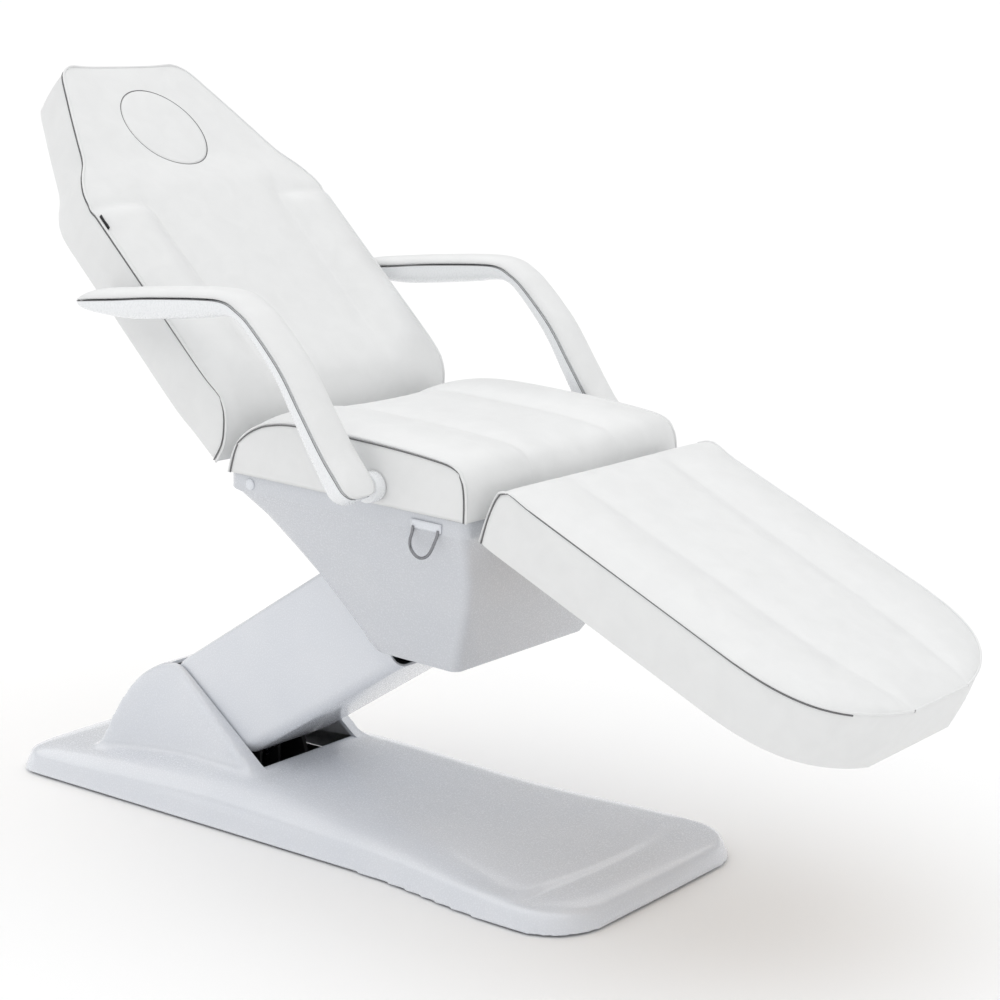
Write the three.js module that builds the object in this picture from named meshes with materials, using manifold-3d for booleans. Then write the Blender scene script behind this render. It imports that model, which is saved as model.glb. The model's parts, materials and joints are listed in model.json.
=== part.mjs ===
// Electric facial treatment bed: a padded seat, back and legrest on one lifting column arm.
// Millimetres, +X towards the foot end, +Y towards the sitter's left, +Z up, floor at Z = 0.
// The origin lies on the floor under the middle of the bed's overall length.
import * as THREE from 'three';
import Module from 'manifold-3d';
import { ConvexGeometry } from 'three/addons/geometries/ConvexGeometry.js';
import { mergeVertices } from 'three/addons/utils/BufferGeometryUtils.js';

const wasm = await Module();
wasm.setup();

const DEG = Math.PI / 180;
const MIDDLE = -17.3; // middle of the overall length, along the X that the sizes below are given in
const GAP = 0.3; // clearance left between two pieces that touch or run in each other

// ---------------------------------------------------------------- driving dimensions
const BASE = {
  rear: -888, front: 382, bulge: 5, // plan of the moulded base cover, at its lip
  rearHalf: 212, frontHalf: 243, flareFrom: -60, flareTo: 290,
  rearCorner: 58, frontCorner: 84,
  lip: 37, skirt: 3, splay: 12, wall: 4, // edge height, ground gap, spread at the foot, thickness
};
const DECK = [ // height of the deck's crown along the base
  [-888, 48], [-700, 60], [-373, 83], [290, 49], [306, 44], [394, 40],
];
const HUMP = { foot: 150, taper: 26, low: 60, high: 236 }; // half width at its foot, and its draw-in
const SLOT = { half: 115.5, rear: -576, front: -373, ledge: 83 }; // opening that the lift arm comes out of
const LIFT = { x: -493, z: 162, angle: 32, length: 515 }; // base pivot and pivot-to-pivot arm
const ARM = { half: 112, top: 100, bottom: -104, wall: 3.5, nose: 100, floorFrom: 50, end: 455 };
const LINK_DROP = 55; // the parallel link's pivots lie this far under the arm's pivots
const SHAFT = 12; // main lift shaft radius
const PIN = 8; // smaller pin radius

const SEAT = { z: 628, tilt: 2.35, rear: -263, front: 224, half: 271, thick: 95 };
const SHROUD = { rear: -275, front: 218, half: 264, band: 28, floor: -276, wall: 3.5 };
const BACK = { x: -270.6, z: 755, rise: 45, length: 721, half: 277, thick: 92.3, board: 8 };
const BACK_HINGE = { x: -268, z: 626, lever: 80, leverAt: -12.5 };
const LEG = { x: 196, z: 604, drop: 24.7, from: 45, to: 683, half: 267, face: 110, thick: 100, board: 10 };
const LEG_HINGE = { x: LEG.x, z: LEG.z, lever: 60, leverAt: -6 };
const ARMREST = { x: 50, z: 656, inner: 297, outer: 365 };
const FACE = { up: 573, long: 90, wide: 83, play: 1.5, depth: 80 }; // oval breathing hole and its plug
const ACTUATOR = { radius: 18, rod: 9, pin: 5 };
// The two actuators under the seat: pivot and rod end along the seat, side, height, pushing way.
const SEAT_ACTUATORS = [
  { name: 'back', x: 118, y: -28, z: -86, way: -1, rodFrom: -10, hinge: BACK_HINGE },
  { name: 'leg', x: -150, y: 28, z: -74, way: 1, rodFrom: -65, hinge: LEG_HINGE },
];

// ---------------------------------------------------------------- materials
const material = (color, roughness, metalness = 0) =>
  () => new THREE.MeshStandardMaterial({ color, roughness, metalness });
const leather = material(0xeceef0, 0.5);
const gloss = material(0xd9dde4, 0.25);
const steel = material(0x3a3d40, 0.5, 0.8);
const bright = material(0xb9bdc2, 0.3, 1);
const plywood = material(0xb08d5f, 0.8);
const rubber = material(0x1c1c1e, 0.9);
const black = material(0x202124, 0.45);

// ---------------------------------------------------------------- geometry helpers
function toSolid(geometry) {
  const bare = geometry.clone();
  bare.deleteAttribute('normal');
  bare.deleteAttribute('uv');
  const merged = mergeVertices(bare, 1e-4);
  const index = merged.index ? merged.index.array : [...merged.attributes.position.array.keys()];
  return new wasm.Manifold(new wasm.Mesh({
    numProp: 3,
    vertProperties: new Float32Array(merged.attributes.position.array),
    triVerts: new Uint32Array(index),
  }));
}

function toGeometry(manifold) {
  const mesh = manifold.getMesh();
  const geometry = new THREE.BufferGeometry();
  geometry.setAttribute('position', new THREE.BufferAttribute(mesh.vertProperties, 3));
  geometry.setIndex(new THREE.BufferAttribute(mesh.triVerts, 1));
  return geometry;
}

const join = (...parts) => toGeometry(parts.map(toSolid).reduce((a, b) => a.add(b)));
const cut = (body, ...tools) =>
  toGeometry(tools.map(toSolid).reduce((a, b) => a.subtract(b), toSolid(body)));

// A box from its two opposite corners.
function box(x0, x1, y0, y1, z0, z1) {
  const geometry = new THREE.BoxGeometry(x1 - x0, y1 - y0, z1 - z0);
  return geometry.translate((x0 + x1) / 2, (y0 + y1) / 2, (z0 + z1) / 2);
}

// A cylinder along Y through (x, z), from y0 to y1.
function shaftY(radius, x, z, y0, y1, sides = 16) {
  const geometry = new THREE.CylinderGeometry(radius, radius, y1 - y0, sides);
  return geometry.translate(x, (y0 + y1) / 2, z);
}

// A cylinder along X through (y, z), from x0 to x1.
function shaftX(radius, y, z, x0, x1, sides = 16) {
  const geometry = new THREE.CylinderGeometry(radius, radius, x1 - x0, sides).rotateZ(Math.PI / 2);
  return geometry.translate((x0 + x1) / 2, y, z);
}

// A closed outline of [x, y, corner radius] points, its corners rounded.
function outline(points) {
  const shape = new THREE.Shape();
  points.forEach(([x, y, radius = 0], i) => {
    const before = points[(i + points.length - 1) % points.length];
    const after = points[(i + 1) % points.length];
    const toBefore = new THREE.Vector2(before[0] - x, before[1] - y).normalize();
    const toAfter = new THREE.Vector2(after[0] - x, after[1] - y).normalize();
    const startX = x + toBefore.x * radius;
    const startY = y + toBefore.y * radius;
    if (i === 0) shape.moveTo(startX, startY);
    else shape.lineTo(startX, startY);
    if (radius) shape.quadraticCurveTo(x, y, x + toAfter.x * radius, y + toAfter.y * radius);
  });
  shape.closePath();
  return shape;
}

// A side profile in X and Z, run across from y0 to y1.
function across(shape, y0, y1, curveSegments = 4) {
  const geometry = new THREE.ExtrudeGeometry(shape, { depth: y1 - y0, bevelEnabled: false, curveSegments });
  return geometry.rotateX(Math.PI / 2).translate(0, y1, 0);
}

// A plan outline in X and Y, run up from z0 to z1.
function upright(shape, z0, z1, curveSegments = 4) {
  const geometry = new THREE.ExtrudeGeometry(shape, { depth: z1 - z0, bevelEnabled: false, curveSegments });
  return geometry.translate(0, 0, z0);
}

const symmetric = (points) => [
  ...points, ...points.map(([x, y, r]) => [x, -y, r]).reverse().filter((p) => p[1] !== 0),
];

// A closed skin over rings of equally many points, capped by a fan at each end.
function loft(rings) {
  const count = rings[0].length;
  const positions = rings.flat(2);
  const index = [];
  for (let r = 0; r + 1 < rings.length; r++) {
    for (let i = 0; i < count; i++) {
      const a = r * count + i;
      const b = r * count + ((i + 1) % count);
      index.push(a, b + count, b, a, a + count, b + count);
    }
  }
  const last = (rings.length - 1) * count;
  for (let i = 1; i + 1 < count; i++) {
    index.push(0, i, i + 1, last, last + i + 1, last + i);
  }
  const geometry = new THREE.BufferGeometry();
  geometry.setAttribute('position', new THREE.Float32BufferAttribute(positions, 3));
  geometry.setIndex(index);
  return geometry;
}

function table(rows, x) {
  const next = rows.findIndex((row) => row[0] >= x);
  if (next < 0) return rows[rows.length - 1][1];
  if (next === 0) return rows[0][1];
  const [x0, z0] = rows[next - 1];
  const [x1, z1] = rows[next];
  return z0 + ((z1 - z0) * (x - x0)) / (x1 - x0);
}

const bed = new THREE.Group();
bed.position.x = -MIDDLE;
function piece(name, geometry, look, parent = bed) {
  const mesh = new THREE.Mesh(geometry, look());
  mesh.name = name;
  parent.add(mesh);
  return mesh;
}

const SIDES = [['right', -1], ['left', 1]];
const between = (side, a, b) => (side < 0 ? [-b, -a] : [a, b]);

// ---------------------------------------------------------------- base
function baseHalfWidth(x, inset) {
  const flare = THREE.MathUtils.clamp((x - BASE.flareFrom) / (BASE.flareTo - BASE.flareFrom), 0, 1);
  let half = THREE.MathUtils.lerp(BASE.rearHalf, BASE.frontHalf, flare * flare * (3 - 2 * flare)) - inset;
  const ends = [[x - BASE.rear - inset, BASE.rearCorner], [BASE.front - inset - x, BASE.frontCorner]];
  for (const [distance, corner] of ends) {
    const radius = corner - inset;
    const into = Math.max(radius - distance, 0);
    half -= radius - Math.sqrt(Math.max(radius * radius - into * into, 0));
  }
  return half;
}

// How far the skirt's foot stands outside the lip, lengthwise and sideways.
function splayAt(x, inset) {
  const rear = Math.max(1 - (x - BASE.rear - inset) / (BASE.rearCorner - inset), 0);
  const front = Math.max(1 - (BASE.front - inset - x) / (BASE.frontCorner - inset), 0);
  const lengthwise = front - rear;
  return [BASE.splay * lengthwise, BASE.splay * Math.sqrt(Math.max(1 - lengthwise ** 2, 0))];
}

// The deck is a shallow pillow: full height along its middle, falling to the lip all round.
function deckHeight(x, sideways, inset) {
  const end = Math.min(x - BASE.rear, BASE.front - x, 120) / 120;
  const fall = Math.sqrt(Math.max(1 - sideways ** 4, 0)) * Math.sqrt(Math.max(1 - (1 - end) ** 4, 0));
  return BASE.lip + (table(DECK, x) - BASE.lip) * fall - inset;
}

function baseBlock(inset, bottom) {
  const stations = [0, 5, 15, 32, 58, 100, 160, 280, 420, 510, 600, 700, 820, 880, 940, 1000, 1060, 1120,
    1176, 1189, 1208, 1233, 1253, 1267, 1275];
  const spread = [-1, -0.97, -0.88, -0.7, -0.4, 0, 0.4, 0.7, 0.88, 0.97, 1];
  const length = BASE.front - BASE.rear;
  return loft(stations.map((distance) => {
    const x = BASE.rear + inset + (distance * (length - 2 * inset)) / length;
    const half = baseHalfWidth(x, inset);
    const bulge = (y) => (distance > 1150 ? BASE.bulge * (1 - (y / BASE.frontHalf) ** 2) : 0);
    const [forward, out] = splayAt(x, inset);
    return [
      [x + forward, -half - out, bottom],
      ...spread.map((v) => [x + bulge(v * half), v * half, deckHeight(x, v, inset)]),
      [x + forward, half + out, bottom],
    ];
  }));
}

// Side profile of the hump, as rear, top and front-slope points.
const HUMP_LINE = [
  [-752, 40], [-748, 56], [-722, 98], [-692, 150], [-655, 196], [-610, 225], [-561, 236.5],
  [-540, 230], [-518, 213], [-356, 86], [-340, 70], [-338, 40],
];

function humpBlock(inset) {
  const points = HUMP_LINE.flatMap(([x, z]) => {
    const middle = -561;
    const inward = x < middle ? inset : -inset;
    const top = z > 60 ? inset : 0;
    const half = HUMP.foot - (HUMP.taper * (z - HUMP.low)) / (HUMP.high - HUMP.low) - inset;
    return [-half, half].map((y) => new THREE.Vector3(x + inward, y, z - top));
  });
  return new ConvexGeometry(points);
}

const INLET = { y: 60, half: 22, z0: 10, z1: 31, depth: 20 };

function baseCover() {
  const outer = toSolid(baseBlock(0, BASE.skirt)).add(toSolid(humpBlock(0)));
  const ledge = box(SLOT.front - BASE.wall, SLOT.front + 60, -200, 200, 0, 200);
  const inner = toSolid(baseBlock(BASE.wall, -5))
    .add(toSolid(humpBlock(BASE.wall)).subtract(toSolid(ledge)));
  const opening = across(outline([
    [SLOT.rear, 190], [SLOT.rear, 320], [SLOT.front + 40, 320], [SLOT.front + 40, SLOT.ledge],
    [SLOT.front, SLOT.ledge], [SLOT.front, 50],
  ]), -SLOT.half, SLOT.half);
  const inletHole = box(BASE.rear - 20, BASE.rear + 8, INLET.y - INLET.half, INLET.y + INLET.half,
    INLET.z0, INLET.z1);
  return toGeometry(outer.subtract(inner).subtract(toSolid(opening)).subtract(toSolid(inletHole)));
}

const PLATE = { z0: 9, z1: 15, rear: -855, front: 362, half: 190 };

function buildBase() {
  piece('base_cover', baseCover(), gloss);
  const plan = outline(symmetric([
    [PLATE.rear, PLATE.half, 40], [PLATE.front, PLATE.half, 40],
  ]));
  piece('base_plate', upright(plan, PLATE.z0, PLATE.z1), steel);
  [-800, -240, 320].forEach((x, row) => {
    SIDES.forEach(([side, sign]) => {
      const foot = new THREE.CylinderGeometry(20, 22, PLATE.z0 - GAP, 20).rotateX(Math.PI / 2);
      piece(`foot_pad_${side}_${row}`, foot.translate(x, sign * 150, (PLATE.z0 - GAP) / 2), rubber);
    });
  });

  // Two welded uprights carry the lift arm's shaft and the parallel link's pin.
  const bracket = outline([
    [LIFT.x - 45, PLATE.z1 + GAP, 0], [LIFT.x - 24, LIFT.z + 24, 18], [LIFT.x + 24, LIFT.z + 24, 18],
    [LIFT.x + 75, PLATE.z1 + GAP, 0],
  ]);
  SIDES.forEach(([side, sign]) => {
    const [y0, y1] = between(sign, 66, 74);
    const tools = [shaftY(SHAFT + GAP, LIFT.x, LIFT.z, y0 - 1, y1 + 1)];
    if (sign > 0) tools.push(shaftY(PIN + GAP, LIFT.x, LIFT.z - LINK_DROP, y0 - 1, y1 + 1));
    piece(`lift_bracket_${side}`, cut(across(bracket, y0, y1), ...tools), steel);
  });
  piece('lift_lower_shaft', shaftY(SHAFT, LIFT.x, LIFT.z, -80, 80), bright);
  piece('link_lower_pin', shaftY(PIN, LIFT.x, LIFT.z - LINK_DROP, 22, 78), bright);

  // The lift actuator pushes against this small bracket on the base plate.
  const ears = [box(ANCHOR.x - 16, ANCHOR.x + 16, -46, -40, PLATE.z1 + GAP, ANCHOR.z + 14),
    box(ANCHOR.x - 16, ANCHOR.x + 16, 0, 6, PLATE.z1 + GAP, ANCHOR.z + 14),
    box(ANCHOR.x - 16, ANCHOR.x + 16, -46, 6, PLATE.z1 + GAP, PLATE.z1 + 8)];
  piece('lift_anchor_bracket', cut(join(...ears), shaftY(ACTUATOR.pin + GAP, ANCHOR.x, ANCHOR.z, -50, 10)), steel);
  piece('lift_anchor_pin', shaftY(ACTUATOR.pin, ANCHOR.x, ANCHOR.z, -48, 8), bright);

  piece('control_box', box(-90, 70, -70, 70, PLATE.z1 + GAP, 52), black);
  const socket = cut(
    box(BASE.rear + 1, BASE.rear + INLET.depth, INLET.y - INLET.half + GAP, INLET.y + INLET.half - GAP,
      INLET.z0 + GAP, INLET.z1 - GAP),
    box(BASE.rear, BASE.rear + 14, INLET.y - 14, INLET.y + 14, INLET.z0 + 4, INLET.z1 - 4),
  );
  piece('mains_inlet', socket, black);
}

// ---------------------------------------------------------------- lift arm
// The arm's own frame: X along the arm from its base pivot, Z square to it.
const ANCHOR_REACH = 80;
const ANCHOR_AIM = (LIFT.angle + 2 - 90) * DEG;
const ANCHOR = {
  x: LIFT.x + ANCHOR_REACH * Math.cos(ANCHOR_AIM),
  z: LIFT.z + ANCHOR_REACH * Math.sin(ANCHOR_AIM),
};

function armCover() {
  const arc = (radius, from, to, steps) => Array.from({ length: steps + 1 }, (_, i) => {
    const angle = (from + ((to - from) * i) / steps) * DEG;
    return [radius * Math.cos(angle), radius * Math.sin(angle)];
  });
  const side = outline([
    [ARM.end, ARM.top], ...arc(ARM.nose, 90, 225, 14), [ARM.floorFrom, ARM.bottom], [ARM.end, ARM.bottom],
  ]);
  const t = ARM.wall;
  const hollow = outline([
    [ARM.end + 5, ARM.top - t], ...arc(ARM.nose - t, 90, 180, 10), [-ARM.nose - 5, 0], [-ARM.nose - 5, -120],
    [ARM.floorFrom - 2, -120], [ARM.floorFrom - 2, ARM.bottom + t], [ARM.end + 5, ARM.bottom + t],
  ]);
  return cut(across(side, -ARM.half, ARM.half), across(hollow, -ARM.half + t, ARM.half - t));
}

function liftActuator(parent) {
  // Its line runs from a clevis on the arm down to the anchor pin beside the base pivot.
  const turned = -LIFT.angle * DEG;
  const dx = ANCHOR.x - LIFT.x;
  const dz = ANCHOR.z - LIFT.z;
  const pin = [dx * Math.cos(turned) - dz * Math.sin(turned), dx * Math.sin(turned) + dz * Math.cos(turned)];
  const clevis = [300, -18];
  const along = Math.atan2(pin[1] - clevis[1], pin[0] - clevis[0]);
  const reach = Math.hypot(pin[0] - clevis[0], pin[1] - clevis[1]);
  const line = new THREE.Group();
  line.position.set(clevis[0], 0, clevis[1]);
  line.rotation.y = -along;
  parent.add(line);
  const housing = join(
    shaftX(ACTUATOR.radius, -20, 0, 10, 190),
    box(-20, 60, -40, 0, -24, 24),
    shaftX(17, -20, 36, -20, 70),
  );
  piece('lift_actuator_housing', cut(housing, shaftX(ACTUATOR.rod + GAP, -20, 0, 62, 195)), black, line);
  piece('lift_actuator_rod', slottedRod(-20, 100, reach, 0, 22), bright, line);
}

function buildLiftArm() {
  const arm = new THREE.Group();
  arm.position.set(LIFT.x, 0, LIFT.z);
  arm.rotation.y = -LIFT.angle * DEG;
  bed.add(arm);
  piece('lift_arm_cover', armCover(), gloss, arm);
  SIDES.forEach(([side, sign]) => {
    const [y0, y1] = between(sign, 50, 58);
    const bar = outline([[-28, 18, 12], [-28, -18, 12], [543, -18, 12], [543, 18, 12]]);
    const bores = [shaftY(SHAFT + GAP, 0, 0, y0 - 1, y1 + 1),
      shaftY(SHAFT + GAP, LIFT.length, 0, y0 - 1, y1 + 1)];
    piece(`lift_arm_bar_${side}`, cut(across(bar, y0, y1), ...bores), steel, arm);
  });
  [130, 345].forEach((x, i) => {
    piece(`lift_cross_tube_${i}`, shaftY(13, x, 0, -50 + GAP, 50 - GAP), steel, arm);
  });
  piece('lift_upper_shaft', shaftY(SHAFT, LIFT.length, 0, -78, 78), bright, arm);
  liftActuator(arm);

  const link = new THREE.Group();
  link.position.set(LIFT.x, 0, LIFT.z - LINK_DROP);
  link.rotation.y = -LIFT.angle * DEG;
  bed.add(link);
  const bar = across(outline([[-16, 10, 8], [-16, -10, 8], [531, -10, 8], [531, 10, 8]]), 26, 38);
  const eyes = [0, LIFT.length].map((x) => shaftY(15, x, 0, 26, 38));
  const bores = [0, LIFT.length].map((x) => shaftY(PIN + GAP, x, 0, 20, 44));
  piece('parallel_link', cut(join(bar, ...eyes), ...bores), steel, link);
}

// ---------------------------------------------------------------- seat carriage
// The seat's own frame: Z = 0 is the cushion's underside, X as in the bed, leaning with the seat.
const SEAT_TILT = SEAT.tilt * DEG;
function inSeat(x, z) {
  const rise = z - SEAT.z;
  return [x * Math.cos(SEAT_TILT) - rise * Math.sin(SEAT_TILT),
    x * Math.sin(SEAT_TILT) + rise * Math.cos(SEAT_TILT)];
}
const COVER_SCREW = { x: -222, z: -15 };
const TOP_PIVOT = inSeat(
  LIFT.x + LIFT.length * Math.cos(LIFT.angle * DEG),
  LIFT.z + LIFT.length * Math.sin(LIFT.angle * DEG),
);
const LINK_PIVOT = inSeat(
  LIFT.x + LIFT.length * Math.cos(LIFT.angle * DEG),
  LIFT.z - LINK_DROP + LIFT.length * Math.sin(LIFT.angle * DEG),
);
const BACK_PIVOT = inSeat(BACK_HINGE.x, BACK_HINGE.z);
const LEG_PIVOT = inSeat(LEG.x, LEG.z);
const ARMREST_PIVOT = inSeat(ARMREST.x, ARMREST.z);

function seatFrame() {
  const top = -12 - 2 * GAP;
  const low = top - 28;
  const rails = SIDES.map(([, sign]) => box(-232, 166, ...between(sign, 185, 213), low, top));
  const cross = [[-232, -204], [-78, -50], [138, 166]].map(([x0, x1]) => box(x0, x1, -200, 200, low, top));
  const [px, pz] = TOP_PIVOT;
  const plate = outline([
    [px - 34, low + 10, 0], [px - 30, pz, 10], [px - 30, LINK_PIVOT[1] - 18, 20],
    [px + 34, LINK_PIVOT[1] - 18, 20], [px + 60, low + 10, 0],
  ]);
  const plates = SIDES.map(([, sign]) => across(plate, ...between(sign, 62, 70)));
  const [bx, bz] = BACK_PIVOT;
  const backEar = outline([[-225, low + 4, 0], [bx - 14, bz - 14, 12], [bx - 14, bz + 12, 12],
    [bx + 16, bz + 12, 10], [-225, top, 0]]);
  const backEars = SIDES.map(([, sign]) => across(backEar, ...between(sign, 112, 120)));
  const [lx, lz] = LEG_PIVOT;
  const legEar = outline([[150, low + 4, 0], [150, top, 0], [lx - 10, lz + 11.5, 4], [lx + 12, lz + 11.5, 8],
    [lx + 12, lz - 12, 8]]);
  const legEars = SIDES.map(([, sign]) => across(legEar, ...between(sign, 196, 204)));
  const [ax, az] = ARMREST_PIVOT;
  const armEar = outline([[ax - 24, low + 2, 0], [ax - 20, az + 18, 16], [ax + 20, az + 18, 16],
    [ax + 24, low + 2, 0]]);
  const armEars = SIDES.flatMap(([, sign]) => [
    across(armEar, ...between(sign, 246, 252)),
    box(ax - 24, ax + 24, ...between(sign, 205, 252), low + 2, low + 10),
  ]);
  const hangers = SEAT_ACTUATORS.flatMap(({ x, y, z, way }) => [
    ...[-1, 1].map((sign) => {
      const [y0, y1] = between(sign, 23, 27);
      return box(x - 12, x + 12, y + y0, y + y1, z - 10, low + 2);
    }),
    box(Math.min(x - 12, x - way * 60), Math.max(x + 12, x - way * 60), y - 27, y + 27, low, low + 6),
  ]);
  return cut(
    join(...rails, ...cross, ...plates, ...backEars, ...legEars, ...armEars, ...hangers),
    shaftY(SHAFT + GAP, px, pz, -90, 90),
    shaftY(PIN + GAP, LINK_PIVOT[0], LINK_PIVOT[1], -90, 90),
    shaftY(PIN + GAP, bx, bz, -140, 140),
    shaftY(PIN + GAP, lx, lz, -220, 220),
    shaftY(10 + GAP, ax, az, -260, 260),
    ...SEAT_ACTUATORS.map(({ x, y, z }) => shaftY(ACTUATOR.pin + GAP, x, z, y - 30, y + 30)),
  );
}

function roundedRing(x0, x1, half, corner, z) {
  const points = outline([
    [x0, -half, corner], [x1, -half, corner], [x1, half, corner], [x0, half, corner],
  ]).getPoints(5);
  return points.slice(0, -1).map((p) => [p.x, p.y, z]);
}

function shroudBlock(inset, top, bottom) {
  const { rear, front, half, band, floor } = SHROUD;
  const levels = [
    [rear, front, half, 26, top], [rear, front, half, 26, -band],
    [rear + 10, front - 4, half - 3, 40, -band - 4],
    [-100, 140, 178, 50, floor + 40], [-60, 126, 165, 50, bottom],
  ];
  return loft(levels.map(([x0, x1, w, r, z]) => roundedRing(x0 + inset, x1 - inset, w - inset, r, z)));
}

function shroud() {
  const outer = shroudBlock(0, -1, SHROUD.floor);
  const inner = shroudBlock(SHROUD.wall, 5, SHROUD.floor + SHROUD.wall);
  const cutters = [
    inner,
    box(-330, 25, -125, 125, -330, 20), // the lift arm's way in, open at the rear and below
    box(-300, -240, -170, 170, -60, 20), // room for the back hinge
    box(180, 240, 10, 46, -120, -20), // the legrest lever's slot
    ...SIDES.map(([, sign]) => box(190, 240, ...between(sign, 146, 180), -56, 20)),
    ...SIDES.map(([, sign]) => shaftY(3 + GAP, COVER_SCREW.x, COVER_SCREW.z, ...between(sign, 250, 270), 12)),
  ];
  return cut(outer, ...cutters);
}

function seatCushion() {
  const profile = outline([
    [SEAT.rear, GAP, 4], [SEAT.rear + 2, 30, 18], [SEAT.rear + 22, 68, 22], [-150, SEAT.thick + 2, 60],
    [90, SEAT.thick, 40], [SEAT.front - 14, SEAT.thick - 12, 18], [SEAT.front, 50, 14],
    [SEAT.front, GAP, 4],
  ]);
  const [ax, az] = ARMREST_PIVOT;
  const pockets = SIDES.flatMap(([, sign]) => [
    box(ax - 28, ax + 28, ...between(sign, 242, 256), -5, az + 23),
    box(ax - 14, ax + 14, ...between(sign, 240, 280), -5, az + 14),
  ]);
  return cut(across(profile, -SEAT.half, SEAT.half, 8), ...pockets);
}

function seatActuators(seat) {
  SEAT_ACTUATORS.forEach(({ name, x, y, z, way, rodFrom, hinge }) => {
    const at = (a, b) => [Math.min(x + way * a, x + way * b), Math.max(x + way * a, x + way * b)];
    const body = join(
      shaftX(ACTUATOR.radius, y, z, ...at(8, 200)),
      box(...at(-10, 56), y - 22.5, y + 22.5, z - 17, z + 17),
    );
    const bore = shaftX(ACTUATOR.rod + GAP, y, z, ...at(62, 205));
    const pinHole = shaftY(ACTUATOR.pin + GAP, x, z, y - 30, y + 30);
    piece(`${name}_actuator_housing`, cut(body, bore, pinHole), black, seat);
    piece(`${name}_actuator_pin`, shaftY(ACTUATOR.pin, x, z, y - 29, y + 29), bright, seat);
    const [rodEnd] = inSeat(...leverPin(hinge));
    piece(`${name}_actuator_rod`, slottedRod(y, rodFrom, rodEnd, z), bright, seat);
  });
}

// A rod whose fork has an upright slot, so the lever's pin can rise and fall in it.
function slottedRod(y, from, to, z, play = 15) {
  const way = Math.sign(to - from);
  const span = (a, b) => [Math.min(a, b), Math.max(a, b)];
  const body = join(
    shaftX(ACTUATOR.rod, y, z, ...span(from, to - way * 20)),
    box(...span(to - way * 24, to + way * 12), y - 6, y + 6, z - play - 5, z + play + 5),
  );
  return cut(body, box(to - 6.5, to + 6.5, y - 10, y + 10, z - play, z + play));
}

function buildCarriage() {
  const seat = new THREE.Group();
  seat.position.set(0, 0, SEAT.z);
  seat.rotation.y = SEAT_TILT;
  bed.add(seat);
  piece('seat_frame', seatFrame(), steel, seat);
  const notch = SIDES.map(([, sign]) => box(ARMREST_PIVOT[0] - 28, ARMREST_PIVOT[0] + 28,
    ...between(sign, 242, 262), -20, 5));
  piece('seat_board', cut(box(-223, 148, -256, 256, -12 - GAP, 0), ...notch), plywood, seat);
  piece('seat_cushion', seatCushion(), leather, seat);
  piece('seat_shroud', shroud(), gloss, seat);
  piece('link_upper_pin', shaftY(PIN, LINK_PIVOT[0], LINK_PIVOT[1], -74, 74), bright, seat);
  piece('back_hinge_shaft', shaftY(PIN, BACK_PIVOT[0], BACK_PIVOT[1], -146, 146), bright, seat);
  piece('leg_hinge_shaft', shaftY(PIN, LEG_PIVOT[0], LEG_PIVOT[1], -208, 208), bright, seat);
  SIDES.forEach(([side, sign]) => {
    const [y0, y1] = between(sign, 243, 318);
    piece(`armrest_pin_${side}`, shaftY(10, ARMREST_PIVOT[0], ARMREST_PIVOT[1], y0, y1), bright, seat);
    const stem = shaftY(3, COVER_SCREW.x, COVER_SCREW.z, ...between(sign, 257, 265), 12);
    const cap = shaftY(9, COVER_SCREW.x, COVER_SCREW.z, ...between(sign, 264 + GAP, 267), 20);
    piece(`shroud_screw_${side}`, join(stem, cap), bright, seat);
  });
  seatActuators(seat);

  // A wire loop on the shroud's right edge, where the handset hangs.
  const loop = new THREE.CatmullRomCurve3([
    [121, -14], [121, -40], [127, -56], [143, -63], [160, -57], [166, -42], [166, -14],
  ].map(([x, z]) => new THREE.Vector3(x, -267.5, z)));
  const wire = new THREE.Shape().absarc(0, 0, 2.5, 0, 2 * Math.PI);
  const bent = new THREE.ExtrudeGeometry(wire, { steps: 22, extrudePath: loop, curveSegments: 4 });
  const tab = box(114, 173, -266.5, -SHROUD.half - GAP, -24, -10);
  piece('handset_hanger', join(bent, tab), bright, seat);
}

// Where a lever's pin stands, below its hinge.
function leverPin(hinge) {
  const aim = (270 + hinge.leverAt) * DEG;
  return [hinge.x + hinge.lever * Math.cos(aim), hinge.z + hinge.lever * Math.sin(aim)];
}

// ---------------------------------------------------------------- back
// A frame leaning about Y, given a point of the bed's frame, for the pieces of the back or legrest.
const inLean = (origin, lean) => (x, z) => {
  const dx = x - origin.x;
  const dz = z - origin.z;
  return [dx * Math.cos(lean) - dz * Math.sin(lean), dx * Math.sin(lean) + dz * Math.cos(lean)];
};

function leaningGroup(origin, lean) {
  const group = new THREE.Group();
  group.position.set(origin.x, 0, origin.z);
  group.rotation.y = lean;
  bed.add(group);
  return group;
}

// Two lever plates either side of a rod's fork, from a hinge to its lever pin.
function leverPlates(hinge, pin, y) {
  const along = new THREE.Vector2(pin[0] - hinge[0], pin[1] - hinge[1]).normalize();
  const side = new THREE.Vector2(-along.y, along.x);
  const corner = (at, forward, right) =>
    [at[0] + along.x * forward + side.x * right, at[1] + along.y * forward + side.y * right, 6];
  const plate = outline([
    corner(hinge, -6, -11), corner(pin, 10, -9), corner(pin, 10, 9), corner(hinge, -6, 11),
  ]);
  return [[y - 11, y - 7], [y + 7, y + 11]].map(([y0, y1]) => across(plate, y0, y1));
}

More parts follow.
